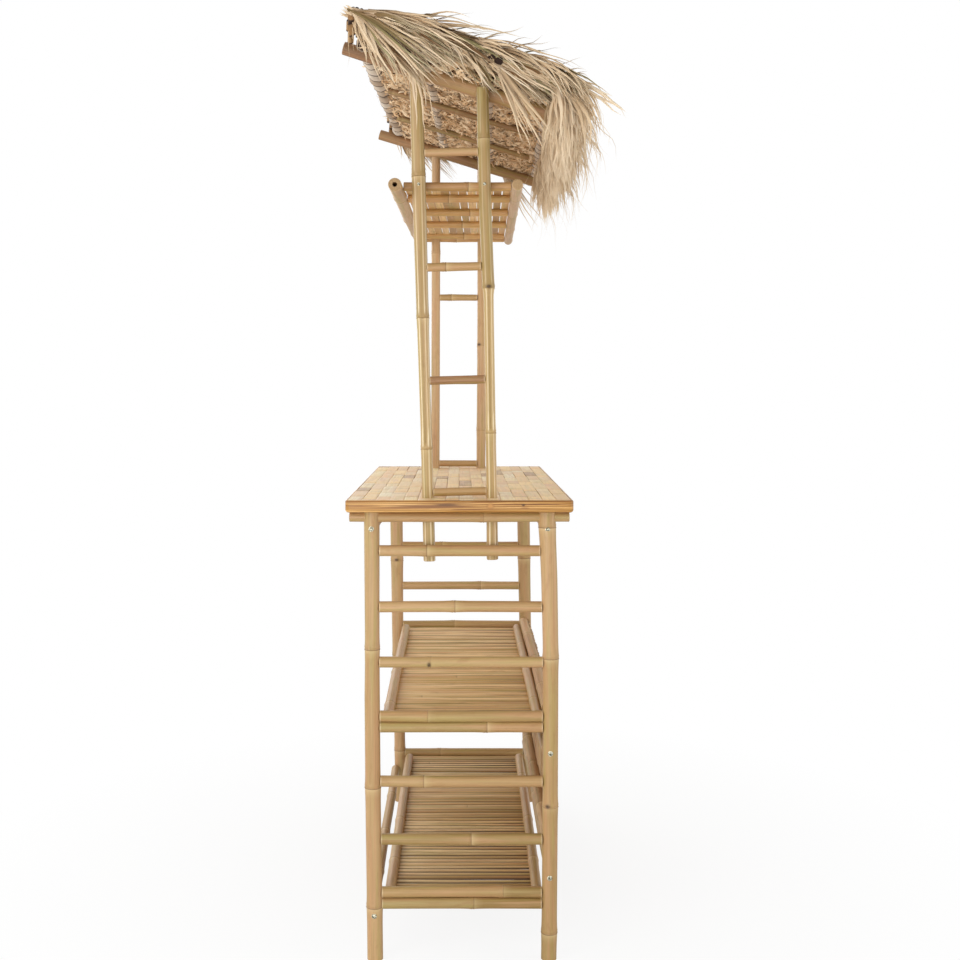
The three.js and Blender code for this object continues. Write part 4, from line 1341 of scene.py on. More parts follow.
@dataclass
class Shelves:
    """Two shelves: end rails on the rungs, long rails between them, and cross slats on battens."""

    slat_width: float = 18.6 * MM
    slat_gap: float = 2.4 * MM
    slat_thickness: float = 6 * MM
    batten_width: float = 18 * MM
    batten_thickness: float = 8 * MM
    batten_inset: float = 9 * MM
    slat_reach: float = 4 * MM
    front_reach: float = 23 * MM
    # Places of the end rails' nodes, towards the barkeeper's side from the middle
    end_rail_nodes: dict[str, Places] = table(upper=(0.072, 0.016), lower=(-0.100, 0.06))
    # How far the long rails lie nearer to the customers than planned, at the left and the right end
    rail_shifts: dict[str, Places] = table(
        upper_front=(11 * MM, 11 * MM), upper_back=(3.6 * MM, 1 * MM), lower_front=(10 * MM, 18 * MM),
        lower_back=(8.5 * MM, 12 * MM),
    )
    # The long rails start behind the left end rail and stop short of the right one
    rail_extra: tuple[float, float] = (7 * MM, -42 * MM)

    def build(self) -> None:
        """Builds both shelves."""
        legs = LegFrames()
        for index, shelf in enumerate(("upper", "lower")):
            for side, place in zip(("left", "right"), self.end_rail_nodes[shelf]):
                node = f"{shelf}_shelf_end_rail_{side}"
                add_culm(
                    node, 160 + index * 4 + len(side),
                    between=(legs.leg(f"{side}_front"), legs.leg(f"{side}_back")),
                    node_shift=place, tone=0.3, ring_share=0.35,
                    growth=grown((0.0, 1.04, 0, -0.5)) if shelf == "upper" else STRAIGHT_GROWTH,
                )
            for face in ("front", "back"):
                near, far = self.rail_shifts[f"{shelf}_{face}"]
                add_culm(
                    f"{shelf}_shelf_rail_{face}", 180 + index * 5 + len(face), spacing=0.33, tone=0.6,
                    bow=1.2 * MM, growth=((0.0, 1.0, near, 0.0), (1.05, 1.0, far, 0.0)),
                    extra=self.rail_extra,
                )
            self.build_slats(shelf, 200 + index)

    def build_slats(self, shelf: str, seed: int) -> None:
        """Builds one shelf's slats and the two battens under them.

        Args:
            shelf: The upper or the lower shelf.
            seed: Seed of the slats.
        """
        node = f"{shelf}_shelf_slats"
        low, high = corners_of(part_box(node))
        rng = np.random.default_rng(seed)
        span = high[0] - low[0]
        centres = slat_places(low[0], high[0], self.slat_width, self.slat_gap)
        count = len(centres)
        middle_y = (low[1] + high[1]) / 2
        depth = high[1] - low[1]
        underside = high[2] - self.slat_thickness
        tops = underside + rng.normal(0, 0.35, count) * MM
        middles = np.stack([centres, np.full(count, middle_y - self.front_reach / 2), tops], -1)
        tones = np.clip(rng.normal(0.8 if shelf == "upper" else 0.55, 0.3, count), 0, 1)
        # Loose slats leave wider gaps. Painted shade darkens every slat's side edges, fully on the
        # loose ones, and the tone rise paints shade towards the customers' side
        is_loose = rng.random(count) < 0.4
        pitch = self.slat_width + self.slat_gap
        slats = strips(
            middles, BACK, UP,
            depth + self.slat_reach + self.front_reach - rng.uniform(0, 2.5, count) * MM,
            pitch * np.where(is_loose, 0.88, 0.99) * rng.uniform(0.97, 1.0, count),
            self.slat_thickness * 0.3, self.slat_thickness * 0.7, seed, tones=tones, segments=14,
            wave=0.8 * MM, edge=0.11, edge_drop=0.7, tilt=0.07, node_share=0.1,
            edge_dark=np.where(is_loose, 1.0, rng.uniform(0.35, 0.95, count)),
            edge_spread=0.1 if shelf == "upper" else 0.5, edge_fade=0.35, tone_rise=0.4,
        )
        batten_y = depth / 2 - self.batten_inset - self.batten_width / 2
        middle = np.array([(low[0] + high[0]) / 2, middle_y, underside + 0.4 * MM])
        battens = strips(
            np.array([middle + face * batten_y * BACK for face in (-1, 1)]), RIGHT, -UP,
            np.array([span, span]), self.batten_width, self.batten_thickness * 0.6,
            self.batten_thickness * 0.4, seed + 10, segments=24,
        )
        surface = Surface.joined([slats, battens])
        make_piece(f"{shelf}_shelf_deck", surface, SLAT_FINISH.material(), (node,))


@dataclass
class Counter:
    """The board: parquet strips in staggered rows inside a frame of glued edge boards."""

    row_count: int = 16
    strip_lengths: tuple[float, float] = (65 * MM, 210 * MM)
    shortest_strip: float = 45 * MM
    strip_gap: float = 0.12 * MM
    strip_thickness: float = 5 * MM
    # How far inside the outline the strips stop
    strip_inset: float = 4.5 * MM
    edge_width: float = 20 * MM
    corner_radius: float = 10 * MM
    edge_round: float = 3.5 * MM
    edge_round_below: float = 7 * MM

    def build(self) -> None:
        """Builds the core with its strips, and the edge frame."""
        self.build_panel()
        self.build_edge()

    def build_panel(self) -> None:
        """Lays rows of strips on a core board, with brown strips here and there."""
        core_low, core_high = corners_of(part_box("counter_panel"))
        low, high = corners_of(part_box("counter_edge_frame"))
        inset = np.array([self.strip_inset, self.strip_inset, 0.0])
        low, high = low + inset, high - inset
        rng = np.random.default_rng(5)
        row_width = (high[1] - low[1]) / self.row_count
        middles, lengths = [], []
        for row in range(self.row_count):
            start = low[0]
            length = rng.uniform(*self.strip_lengths) * rng.uniform(0.4, 1.0)
            while start < high[0] - 1 * MM:
                end = min(start + length, high[0])
                end = high[0] if high[0] - end < self.shortest_strip else end
                y = low[1] + (row + 0.5) * row_width
                middles.append(((start + end) / 2, y, high[2] - self.strip_thickness))
                lengths.append(end - start - self.strip_gap)
                start = end
                length = rng.uniform(*self.strip_lengths)
        count = len(lengths)
        tones = rng.uniform(0.16, 1.0, count)
        tones[rng.random(count) < 0.07] = 0.0
        lifts = rng.uniform(-0.3, 0.0, count)[:, None] * MM * UP
        top = strips(
            np.array(middles) + lifts, RIGHT, UP, np.array(lengths),
            row_width - self.strip_gap - rng.choice([0.0, 1.4], count, p=[0.8, 0.2]) * MM,
            self.strip_thickness * 0.97, self.strip_thickness * 0.03, 6, tones=tones, segments=4,
            wave=0.0, edge=0.01, edge_drop=0.05, node_share=0.35,
        )
        core_depth = high[2] - core_low[2] - self.strip_thickness * 0.8
        core = strips(
            np.array([[*(core_low + core_high)[:2] / 2, core_low[2]]]), RIGHT, UP,
            np.array([core_high[0] - core_low[0]]), (core_high[1] - core_low[1]) / 0.99, core_depth,
            0.0, 7, tones=np.array([0.1]), segments=30, wave=0.0, node_share=0.0,
        )
        surface = Surface.joined([top, core])
        finish = PARQUET_FINISH.material()
        make_piece("counter_parquet", surface, finish, ("counter_panel",))

    def build_edge(self) -> None:
        """Carries the rounded section of the edge board round the counter's outline."""
        low, high = corners_of(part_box("counter_edge_frame"))
        centre = (low + high) / 2
        half = (high - low) / 2 - self.corner_radius
        quarter = np.linspace(0, math.pi / 2, 7)
        places, outward = [], []
        signs = ((1, 1), (-1, 1), (-1, -1), (1, -1))
        pivots = [centre * [1, 1, 0] + half * [sx, sy, 0] for sx, sy in signs]
        for corner, pivot in enumerate(pivots):
            angles = quarter + corner * math.pi / 2
            normals = np.stack([np.cos(angles), np.sin(angles), np.zeros_like(angles)], -1)
            places.append(pivot + normals * self.corner_radius)
            outward.append(normals)
            end = pivots[(corner + 1) % 4] + normals[-1] * self.corner_radius
            steps = np.linspace(0, 1, 22)[1:-1, None]
            places.append(places[-1][-1] + (end - places[-1][-1]) * steps)
            outward.append(np.repeat(normals[-1:], len(steps), 0))
        path = np.concatenate(places)
        normal = np.concatenate(outward)
        thickness = high[2] - low[2]
        bend = np.linspace(0, math.pi / 2, 5)
        r, r_below = self.edge_round, self.edge_round_below
        profile = [(-self.edge_width, low[2]), (-self.edge_width * 0.5, low[2])]
        profile += [(r_below * (math.sin(a) - 1), low[2] + r_below * (1 - math.cos(a))) for a in bend]
        profile += [(0.0, low[2] + thickness / 2)]
        profile += [(-r + r * math.cos(a), high[2] - r + r * math.sin(a)) for a in bend]
        profile += [(-self.edge_round - MM, high[2] - 2 * MM), (-self.edge_width, high[2] - 2 * MM)]
        offsets = np.array(profile)
        rings = path[:, None] + offsets[None, :, :1] * normal[:, None] + offsets[None, :, 1:] * UP
        run = np.cumsum(np.linalg.norm(np.diff(path, axis=0, prepend=path[:1]), axis=1))
        shape = rings.shape[:2]
        columns = (offsets[None, :, 0], offsets[None, :, 1], run[:, None])
        grain = np.stack([spread(column, shape) for column in columns], -1)
        surface = closed_loop(rings[:, ::-1], {"grain": grain[:, ::-1] + 3.7})
        finish = EdgeBoard().material()
        make_piece("counter_edge_boards", surface, finish, ("counter_edge_frame",))


@dataclass
class PostFrames:
    """Two ladders of two posts and four rungs that stand through the counter."""

    # Heights of nodes above the floor
    near_nodes: dict[str, Places] = table(back=(1.162, 1.464, 1.790), front=(0.93, 1.199, 1.532, 1.877))
    far_nodes: dict[str, Places] = table(back=(1.0, 1.72), front=(0.93, 1.168, 1.431, 1.80))
    # How deep the flute is in each internode of a near post, and the internodes' tones
    flute_shares: dict[str, Places] = table(
        back=(0.7, 1.0, 0.35, 0.15), front=(0.3, 0.5, 1.0, 0.15, 0.15)
    )
    near_tones: dict[str, Places] = table(
        back=(0.5, 0.68, 0.33, 0.3), front=(0.5, 0.65, 0.8, 0.3, 0.15)
    )
    # How each post grew: distance from its lower end, share of the radius, and shifts
    growth: dict[str, Growth] = table(
        left_back=grown(
            (0.0, 0.86, 0, 0), (0.144, 0.86, 0, 0), (0.25, 0.81, 0, 0), (0.40, 0.81, 0, -1.5),
            (0.60, 0.90, 0, -2.4), (0.83, 0.99, 0, -2.0), (1.12, 0.96, 0, -2.4),
        ),
        left_front=grown(
            (0.0, 0.93, 0, 0), (0.144, 0.92, 0, 2.5), (0.30, 0.84, 0, 4.2), (0.610, 0.83, 0, 5.2),
            (0.628, 1.02, 0, 5.0), (0.80, 1.03, 0, 3.8), (1.08, 1.00, 0, 5.4),
        ),
        right_back=grown((0.0, 0.84, 0, -3)), right_front=grown((0.0, 1.0, 0, -5)),
    )
    # Scars: distance from the lower end, and angle from the left end
    eyes: dict[str, tuple[Places, ...]] = table(
        left_front=((0.622, 0.05),), right_front=((0.52, -0.6),)
    )

    def post(self, side: str, face: str) -> Culm:
        """One post as it grew."""
        return Culm(Axis.of(f"post_{side}_{face}"), (), 0, growth=self.growth[f"{side}_{face}"])

    def build(self) -> None:
        """Builds the posts and their rungs."""
        for side in ("left", "right"):
            is_near = side == "left"
            for face, heights in (self.near_nodes if is_near else self.far_nodes).items():
                node = f"post_{side}_{face}"
                axis = Axis.of(node)
                places = tuple(height - float(axis.start[2]) for height in heights)
                add_culm(
                    node, 230 + len(side) * 3 + len(face), nodes=places,
                    tones=self.near_tones[face] if is_near else (), tone=0.85, tone_spread=0.08,
                    # Near posts get raised flute ridges with painted highlights
                    ribs=0.18 * MM if is_near else 0.04 * MM, gleam=1.0 if is_near else 0.0,
                    ring_share=0.45 if is_near else 0.2, flute=3.2 * MM,
                    flute_shares=self.flute_shares[face] if is_near else (0.15,),
                    flute_angle=-0.12 if face == "back" else 0.05, flute_width=0.5, flute_reach=0.5,
                    growth=self.growth[f"{side}_{face}"], eyes=self.eyes.get(f"{side}_{face}", ()),
                    finish=POST_FINISH if is_near else POLE_FINISH, sides=64,
                )
            for number in range(1, 5):
                node = f"post_rung_{side}_{number}"
                length = Axis.of(node).length
                places = (length * (0.3 + 0.12 * number),) if number == 3 else ()
                is_smoked = (side, number) == ("left", 2)
                add_culm(
                    node, 250 + number + 9 * (side == "right"),
                    between=(self.post(side, "front"), self.post(side, "back")), nodes=places, tone=0.5,
                    bow=0.3 * MM, finish=DARK_RUNG_FINISH if is_smoked else POLE_FINISH,
                )


@dataclass
class Rack:
    """The hanging rack: two long poles, cross poles between them, and slats on the cross poles."""

    end_cross_diameter: float = 21 * MM
    cross_diameter: float = 19.5 * MM
    outer_cross_diameter: float = 17 * MM
    cross_shares: Places = (0.158, 0.408, 0.67)
    far_cross_inset: float = 14 * MM
    slat_width: float = 17.5 * MM
    slat_gap: float = 3 * MM
    slat_thickness: float = 6 * MM
    slat_bite: float = 1 * MM
    slat_drop: float = 1 * MM
    # How far a slat's end lies over its cross pole, as a share of the pole's diameter
    slat_seat: float = 0.42
    # A slat nearer to a post's middle line than this, and half its width, stops before the post
    post_room: float = 22 * MM
    clearance: float = 0.3 * MM

    def build(self) -> None:
        """Builds the two long poles and the deck."""
        add_culm(
            "rack_pole_back", 281, spacing=0.36, tone=0.9, bore_share=0.37, bore_depth=55 * MM,
            bow=1.0 * MM,
        )
        length = Axis.of("rack_pole_front").length
        add_culm(
            "rack_pole_front", 282, nodes=(0.19, 0.51, 0.83, length - 38 * MM), tone=0.95,
            bore_share=0.03, rim=2.5 * MM, bow=1.0 * MM,
        )
        self.build_deck()

    def build_deck(self) -> None:
        """Builds the cross poles and the slats between the long poles and the posts."""
        _, high = corners_of(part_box("rack_deck"))
        back, front = Axis.of("rack_pole_back"), Axis.of("rack_pole_front")
        run = back.direction
        middle = (back.start + back.end + front.start + front.end) / 4
        left_post, right_post = Axis.of("post_left_back"), Axis.of("post_right_back")
        slat_bottom = high[2] - self.slat_drop - self.slat_thickness
        skew = run[1] / run[0]

        def side_y(axis: Axis, x: float, sign: int) -> float:
            """Where a long pole's side is, across the bar, at a place along it."""
            return float(axis.start[1] + (x - axis.start[0]) * skew) + sign * axis.start_radius

        gap = self.clearance + self.end_cross_diameter * abs(skew)
        pieces = []
        inner_left = left_post.end[0] + left_post.end_radius
        inner_right = right_post.end[0] - right_post.end_radius
        first = inner_left + self.clearance + self.end_cross_diameter / 2
        last = inner_right - self.clearance - self.end_cross_diameter / 2
        outer = inner_right + 2 * right_post.end_radius + self.clearance + self.outer_cross_diameter / 2
        inner_places = [first + share * (last - first) for share in self.cross_shares]
        ends_at = [(x, self.end_cross_diameter, high[2]) for x in (first, last - self.far_cross_inset)]
        between = [(x, self.cross_diameter, slat_bottom + self.slat_bite) for x in inner_places]
        between.append((outer, self.outer_cross_diameter, slat_bottom + self.slat_bite))
        for index, (x, diameter, cross_top) in enumerate(ends_at + between):
            radius = diameter / 2
            ends = (side_y(front, x, 1) + gap, side_y(back, x, -1) - gap)
            start, end = (np.array([x, y, cross_top - radius]) for y in ends)
            axis = Axis(start, end, radius, radius)
            nodes = (axis.length * (0.4 + 0.1 * (index % 3)),)
            traits = {"tone": 0.3 if index else 0.0, "sides": 24, "bow": 0.3 * MM, "flute_angle": 0.5}
            pieces.append(Culm(axis, nodes, 290 + index, **traits).surface())
        depth = side_y(back, 0, -1) - side_y(front, 0, 1) - 2 * gap
        centre_y = (side_y(back, 0, -1) + side_y(front, 0, 1)) / 2
        offsets = slat_places(-depth / 2, depth / 2, self.slat_width, self.slat_gap)
        count = len(offsets)
        rise = np.cross(run, unit(np.cross(UP, run)))
        across = np.cross(rise, run)
        posts = (right_post, Axis.of("post_right_front"))
        posts_y = np.array([self.post_y(post, middle[2]) for post in posts])
        reach = np.abs(centre_y + offsets[:, None] + last * skew - posts_y).min(1)
        rng = np.random.default_rng(303)
        free = reach > self.slat_width / 2 + self.post_room
        seat = self.end_cross_diameter * self.slat_seat
        begin = first + seat
        far = np.where(free, outer, last) - np.where(free, 0.0, seat)
        middle_x = (begin + far) / 2
        middles = np.stack([middle_x, centre_y + middle_x * skew, np.full(count, slat_bottom)], -1)
        middles = middles + offsets[:, None] * across
        slats = strips(
            middles, run, rise, far - begin,
            (self.slat_width + self.slat_gap) * rng.uniform(0.93, 1.0, count),
            self.slat_thickness * 0.55, self.slat_thickness * 0.45, 300, segments=22, wave=0.5 * MM,
            node_share=0.9,
        )
        surface = Surface.joined([*pieces, slats])
        make_piece("rack_deck_slats", surface, RACK_FINISH.material(), ("rack_deck",))

    def post_y(self, post: Axis, height: float) -> float:
        """Where a leaning post is, across the bar, at a height."""
        share = (height - post.start[2]) / (post.end[2] - post.start[2])
        return float(post.start[1] + share * (post.end[1] - post.start[1]))


def leaf_piece(name: str, finish: PalmLeaf, parts: list[Surface], *nodes: str) -> None:
    """Makes one piece of leaf from its parts."""
    make_piece(name, Surface.joined(parts), finish.material(), nodes)


@dataclass
class Roof:
    """Four rafters, the leaf mat on them and the fringe at its front edge.

    A place on the roof is given as u along the bar, s down the slope from the post frames' middle,
    and h off the slope, from the middle line of the outer rafters.
    """

    front_length: float = 278 * MM
    half_length: float = 606 * MM
    rafter_count: int = 4
    roll_places: Places = (-0.0573, 0.0903, 0.238)
    roll_height: float = 27.5 * MM
    roll_radius: float = 15 * MM
    # How far inside the mat's ends the rolls stop, and how much sooner the back roll does
    roll_inset: float = 40 * MM
    back_roll_inset: float = 42 * MM
    # The thick back roll: place and height of its left end and of its right end, and its radii
    back_roll_ends: tuple[Places, ...] = ((-0.2135, 31 * MM), (-0.2015, 31 * MM))
    back_roll_radii: tuple[float, float] = (21 * MM, 19 * MM)
    # The mat's top: places down the slope, and heights off the rafters
    top_places: Places = (-0.272, -0.239, -0.177, -0.082, 0.059, 0.181, 0.270)
    top_heights: Places = (0.080, 0.092, 0.101, 0.102, 0.096, 0.086, 0.080)
    # Roots of the fans of blades at each end: at the back corner and at the second course
    fan_roots: tuple[Places, ...] = ((-0.2515, 0.086), (0.098, 0.056))
    # Locks of leaf at each end: root down the slope and off it, first fall, and length
    locks: tuple[Places, ...] = (
        (0.098, 0.056, 0.74, 0.205),
        (0.098, 0.056, 0.80, 0.190),
        (0.098, 0.056, 0.66, 0.150),
        (0.098, 0.056, 0.65, 0.250),
        (0.184, 0.049, 0.49, 0.080),
        (0.010, 0.062, 0.60, 0.120),
        (0.024, 0.060, 0.64, 0.115),
        (0.036, 0.058, 0.56, 0.125),
        (-0.158, 0.062, 0.90, 0.160),
        (-0.144, 0.058, 0.88, 0.150),
        (-0.100, 0.050, 1.10, 0.200),
    )
    # Twisted folds at each back corner, in millimetres: radius, shift down the slope, and inset
    corner_folds: tuple[Places, ...] = ((8, 0, 2), (6, 9, 8), (6, -4, 20), (9, 22, 4), (8, 36, 6))
    # How the inner rafters grew, half sunk in the leaf
    inner_growth: Growth = grown((0.0, 0.68, 0, 8))
    # How each outer rafter grew, from its front end to its back end
    rafter_growth: dict[str, Growth] = table(
        rafter_1=grown((0.0, 1.48, -6, 7), (0.538, 1.16, -2, 10)),
        rafter_4=grown((0.0, 1.2, 2, 1), (0.538, 1.2, 2, 1)),
    )

    def __post_init__(self) -> None:
        """Finds the roof's own axes from the two outer rafters."""
        outer = [Axis.of(f"rafter_{number}") for number in (1, self.rafter_count)]
        middles = [axis.start + axis.direction * self.front_length for axis in outer]
        self.along = unit(middles[1] - middles[0])
        slope = -outer[0].direction
        self.slope = unit(slope - (slope @ self.along) * self.along)
        self.lift = np.cross(self.along, self.slope)
        self.lift = self.lift * np.sign(self.lift[2])
        self.origin = (middles[0] + middles[1]) / 2

    def at(self, u: Array | float, s: Array | float, h: Array | float) -> Array:
        """Points of the part's frame from places on the roof."""
        u, s, h = (value[..., None] for value in np.broadcast_arrays(u, s, h))
        return self.origin + u * self.along + s * self.slope + h * self.lift

    def aim(self, down: Array, out: Array, up: Array) -> Array:
        """Directions from shares down the slope, along the bar and off the slope."""
        return down[:, None] * self.slope + out[:, None] * self.along + up[:, None] * self.lift

    def top(self, s: Array) -> Array:
        """Height of the mat's top above the rafters' middle lines."""
        return np.interp(s, self.top_places, self.top_heights)

    def build(self) -> None:
        """Builds rafters, core, rolls, top courses, end fans, fringe and whiskers."""
        for number in range(1, self.rafter_count + 1):
            node = f"rafter_{number}"
            add_culm(
                node, 310 + number, nodes=(0.03, 0.21, 0.38),
                # The inner rafters' lower tones paint part of the shade under the mat
                tones=(0.55, 0.55, 0.65, 0.0) if number == 1 else (0.4, 0.5, 0.35, 0.3), ring_share=0.3,
                finish=RAFTER_FINISH, bow=0.5 * MM, bore_share=0.05, bore_depth=2 * MM,
                growth=self.rafter_growth.get(node, self.inner_growth),
            )
        self.build_core()
        self.build_underside()
        self.build_rolls()
        self.build_courses()
        self.build_ends()
        self.build_fringe()
        self.build_whiskers()

    def crumple(self, u: Array, s: Array) -> Array:
        """Depth of the shrivelled leaf on the underside, from 0 on its ridges to 1 in its gaps.

        The leaves lie down the slope, so the ridges are long that way. The depth is the greatest
        of three ridged noises, the finer ones weaker.

        Args:
            u, s: Places along the bar and down the slope.

        Returns:
            The depth there.
        """
        wander = lattice_noise(u / 0.05, s / 0.03, 91) * 0.9
        depth = np.zeros_like(u)
        scales = ((0.030, 0.034, 1.0), (0.017, 0.019, 0.85), (0.010, 0.012, 0.6))
        for index, (pitch, length, weight) in enumerate(scales):
            noise = lattice_noise(u / pitch + wander, s / length + 0.6 * u / pitch, 92 + index)
            depth = np.maximum(depth, weight * (1 - np.abs(2 * noise - 1)) ** 2.6)
        return depth

    def build_core(self) -> None:
        """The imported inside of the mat: its section along the bar, crumpled on the underside."""
        rng = np.random.default_rng(400)
        low_s = np.linspace(0.246, -0.222, 128)
        top_s = np.linspace(-0.235, 0.252, 22)
        s = np.concatenate([low_s, top_s])
        u = np.linspace(-self.half_length + 24 * MM, self.half_length - 24 * MM, 300)
        grid_u, grid_s = np.meshgrid(u, s, indexing="ij")
        depth = self.crumple(grid_u, grid_s)
        is_low = (np.arange(len(s)) < len(low_s))[None]
        near_roll = np.min([np.abs(s - place) for place in (-0.205, *self.roll_places)], 0)
        sag = 6 * MM * bell(near_roll - 0.07, 0.05)
        low_h = 24.5 * MM - sag + depth * 15 * MM
        top_h = self.top(s) - 15 * MM + rng.normal(0, 2 * MM, grid_u.shape)
        h = np.where(is_low, low_h, top_h)
        # Both ends round off under the fans
        end = smooth_step(0.0, 26 * MM, self.half_length - 20 * MM - np.abs(grid_u))
        h = 50 * MM + (h - 50 * MM) * (0.55 + 0.45 * end)
        rings = self.at(grid_u, grid_s, h)
        # Painted shade: the underside is darker in shade and tone in its crevices, and the hidden top
        # is dark under the blades
        shade = np.where(is_low, np.clip(depth * 2.0 - 0.45, 0, 1), 0.75)
        tone = np.clip(0.85 - 0.4 * depth + rng.normal(0, 0.12, depth.shape), 0, 1)
        values = {
            "grain": np.stack([grid_u, h, grid_s], -1), "tone": np.where(is_low, tone, 0.2),
            "run": np.zeros_like(depth), "shade": shade,
        }
        leaf_piece("thatch_core", FOLD_FINISH, [tube(rings, values)], "thatch_mat")

    def build_underside(self) -> None:
        """Short curled pieces of leaf that stand off the underside, most of them down the slope."""
        rng = np.random.default_rng(430)
        count = 3400
        roots = self.at(
            rng.uniform(-0.575, 0.575, count), rng.uniform(-0.2, 0.235, count),
            rng.uniform(16, 26, count) * MM,
        )
        yaw = rng.normal(0, 0.75, count)
        flip = rng.choice([-1.0, 1.0], count)
        aims = self.aim(flip * np.cos(yaw), np.sin(yaw), rng.normal(0.05, 0.3, count))
        surface = BLADES.surface(
            roots, aims, -self.lift + rng.normal(0, 0.45, (count, 3)), rng.uniform(14, 34, count) * MM,
            rng.uniform(5, 11, count) * MM, np.full(count, 0.02), rng.uniform(0.45, 1, count),
            rng.uniform(0, 0.5, count) ** 2, 431, crinkle=3.5 * MM,
        )
        leaf_piece("thatch_underside", FOLD_FINISH, [surface])

    def build_rolls(self) -> None:
        """The wrapped sticks under the mat, and the weathered folds stacked at its back corner."""
        inner = self.half_length - self.roll_inset
        reach = inner - self.back_roll_inset
        ends = [self.at(side * reach, s, h) for side, (s, h) in zip((-1, 1), self.back_roll_ends)]
        under = [LeafRoll(*ends, *self.back_roll_radii, 409, tone=0.7).surface()]
        for index, s in enumerate(self.roll_places):
            ends = [self.at(side * inner, s, self.roll_height) for side in (-1, 1)]
            roll = LeafRoll(*ends, self.roll_radius, self.roll_radius, 410 + index, tone=0.6)
            under.append(roll.surface())
        leaf_piece("thatch_rolls", WRAP_FINISH, under)
        folds = []
        for side in (-1, 1):
            # A twisted fold hangs at the back corner, and a rolled leaf opens at the second course, its
            # open end painted dark as shade
            for index, (radius, shift, inset) in enumerate(self.corner_folds):
                place = side * (self.half_length - (10 + inset) * MM)
                head = self.at(place, -0.2525 + shift * MM, 0.084)
                foot = self.at(place - side * 12 * MM, -0.232 + shift * MM, 0.034 - inset * MM)
                radii = (radius * MM, radius * MM)
                fold = LeafRoll(head, foot, *radii, 420 + index + side, pitch=23 * MM, roughness=3.0)
                folds.append(fold.surface())
            s, h = self.fan_roots[1]
            for shift in (-13 * MM, 5 * MM):
                ends = [self.at(side * u, s + shift, h + 4 * MM) for u in (0.607, 0.54)]
                folds.append(LeafRoll(*ends, 11 * MM, 11 * MM, 424, pitch=36 * MM).surface())
        for index, h in enumerate((0.078, 0.057)):
            ends = [self.at(side * (inner + 5 * MM), -0.222, h) for side in (-1, 1)]
            fold = LeafRoll(*ends, 11 * MM, 11 * MM, 425 + index, pitch=30 * MM, roughness=1.5)
            folds.append(fold.surface())
        leaf_piece("thatch_ridge_folds", RIDGE_FINISH, folds)

    def bunches(
        self, rng: np.random.Generator, roots: Array, aims: Array, across: Array, size: int
    ) -> tuple[Array, Array]:
        """Blades that share a root in bunches, as one folded leaf's do.

        Args:
            rng: Source of the random spread.
            roots: Root of each bunch as (bunch, 3).
            aims: Middle direction of each bunch.
            across: The direction in which its blades fan out.
            size: Number of blades in a bunch.

        Returns:
            Root and aim of every blade, as (bunch * size, 3).
        """
        count = len(roots)
        fan = np.linspace(-0.22, 0.22, size)[None] + rng.normal(0, 0.06, (count, size))
        every = aims[:, None] * np.cos(fan)[..., None] + across[:, None] * np.sin(fan)[..., None]
        start = roots[:, None] + rng.normal(0, 3 * MM, (count, size, 3))
        return start.reshape(-1, 3), every.reshape(-1, 3)

    def tones(self, rng: np.random.Generator, count: int, size: int) -> Array:
        """Tones of blades, alike within a bunch, with some bunches still green and some brown.

        Args:
            rng: Source of the random tones.
            count: Number of bunches.
            size: Number of blades in a bunch.

        Returns:
            A tone for each blade.
        """
        own = 0.25 + 0.75 * rng.beta(2.4, 1.8, count)
        kind = rng.random(count)
        own[kind < 0.2] = 0.15
        own[kind < 0.1] = 0.0
        return np.clip(np.repeat(own, size) + rng.normal(0, 0.1, count * size), 0.0, 1.0)

    def build_courses(self) -> None:
        """The top of the mat: bunches of long blades in overlapping courses, combed down the slope."""
        rng = np.random.default_rng(440)
        size = 5
        parts = []
        for index, start in enumerate((-0.252, -0.215, -0.15, -0.07, 0.01, 0.085, 0.15, 0.2)):
            count = 74
            u = rng.uniform(-self.half_length + 8 * MM, self.half_length - 8 * MM, count)
            s = np.clip(start + rng.normal(0, 14 * MM, count), -0.256, 0.235)
            h = self.top(s) - rng.uniform(0, 12, count) * MM
            # Blades lean out towards the nearer end of the roof, and more so close to it
            edge = np.abs(u) / self.half_length
            yaw = rng.normal(0, 0.3, count) + np.sign(u) * 0.35 * smooth_step(0.72, 1.0, edge)
            lift = rng.normal(0.02, 0.07, count)
            aims = self.aim(np.cos(yaw), np.sin(yaw), lift)
            across = self.aim(-np.sin(yaw), np.cos(yaw), np.zeros(count))
            roots, aims = self.bunches(rng, self.at(u, s, h), aims, across, size)
            total = count * size
            every_s = np.repeat(s, size)
            lengths = rng.uniform(140, 290, total) * MM
            lengths = np.minimum(lengths, 0.30 - every_s + rng.uniform(0, 0.07, total))
            droop = 0.08 + 0.55 * smooth_step(-0.02, 0.22, every_s) + rng.uniform(0, 0.10, total)
            course = BLADES.surface(
                roots, aims, self.lift + rng.normal(0, 0.25, (total, 3)), np.maximum(lengths, 60 * MM),
                rng.uniform(6.0, 12.0, total) * MM, droop, self.tones(rng, count, size),
                rng.uniform(0.25, 0.95, total), 450 + index, crinkle=3.5 * MM,
            )
            parts.append(course)
        leaf_piece("thatch_courses_back", BLADE_FINISH, parts[:4])
        leaf_piece("thatch_courses_front", BLADE_FINISH, parts[4:])

    def build_ends(self) -> None:
        """Blades over both ends of the mat: a fan at each course's corner, and a ragged edge.

        Most tips stop just above the outer rafter, so the rafter and the underside stay in sight,
        and a few locks hang lower.
        """
        rng = np.random.default_rng(470)
        size = 5
        for side, name in ((-1, "left"), (1, "right")):
            roots, angles, lengths = [], [], []
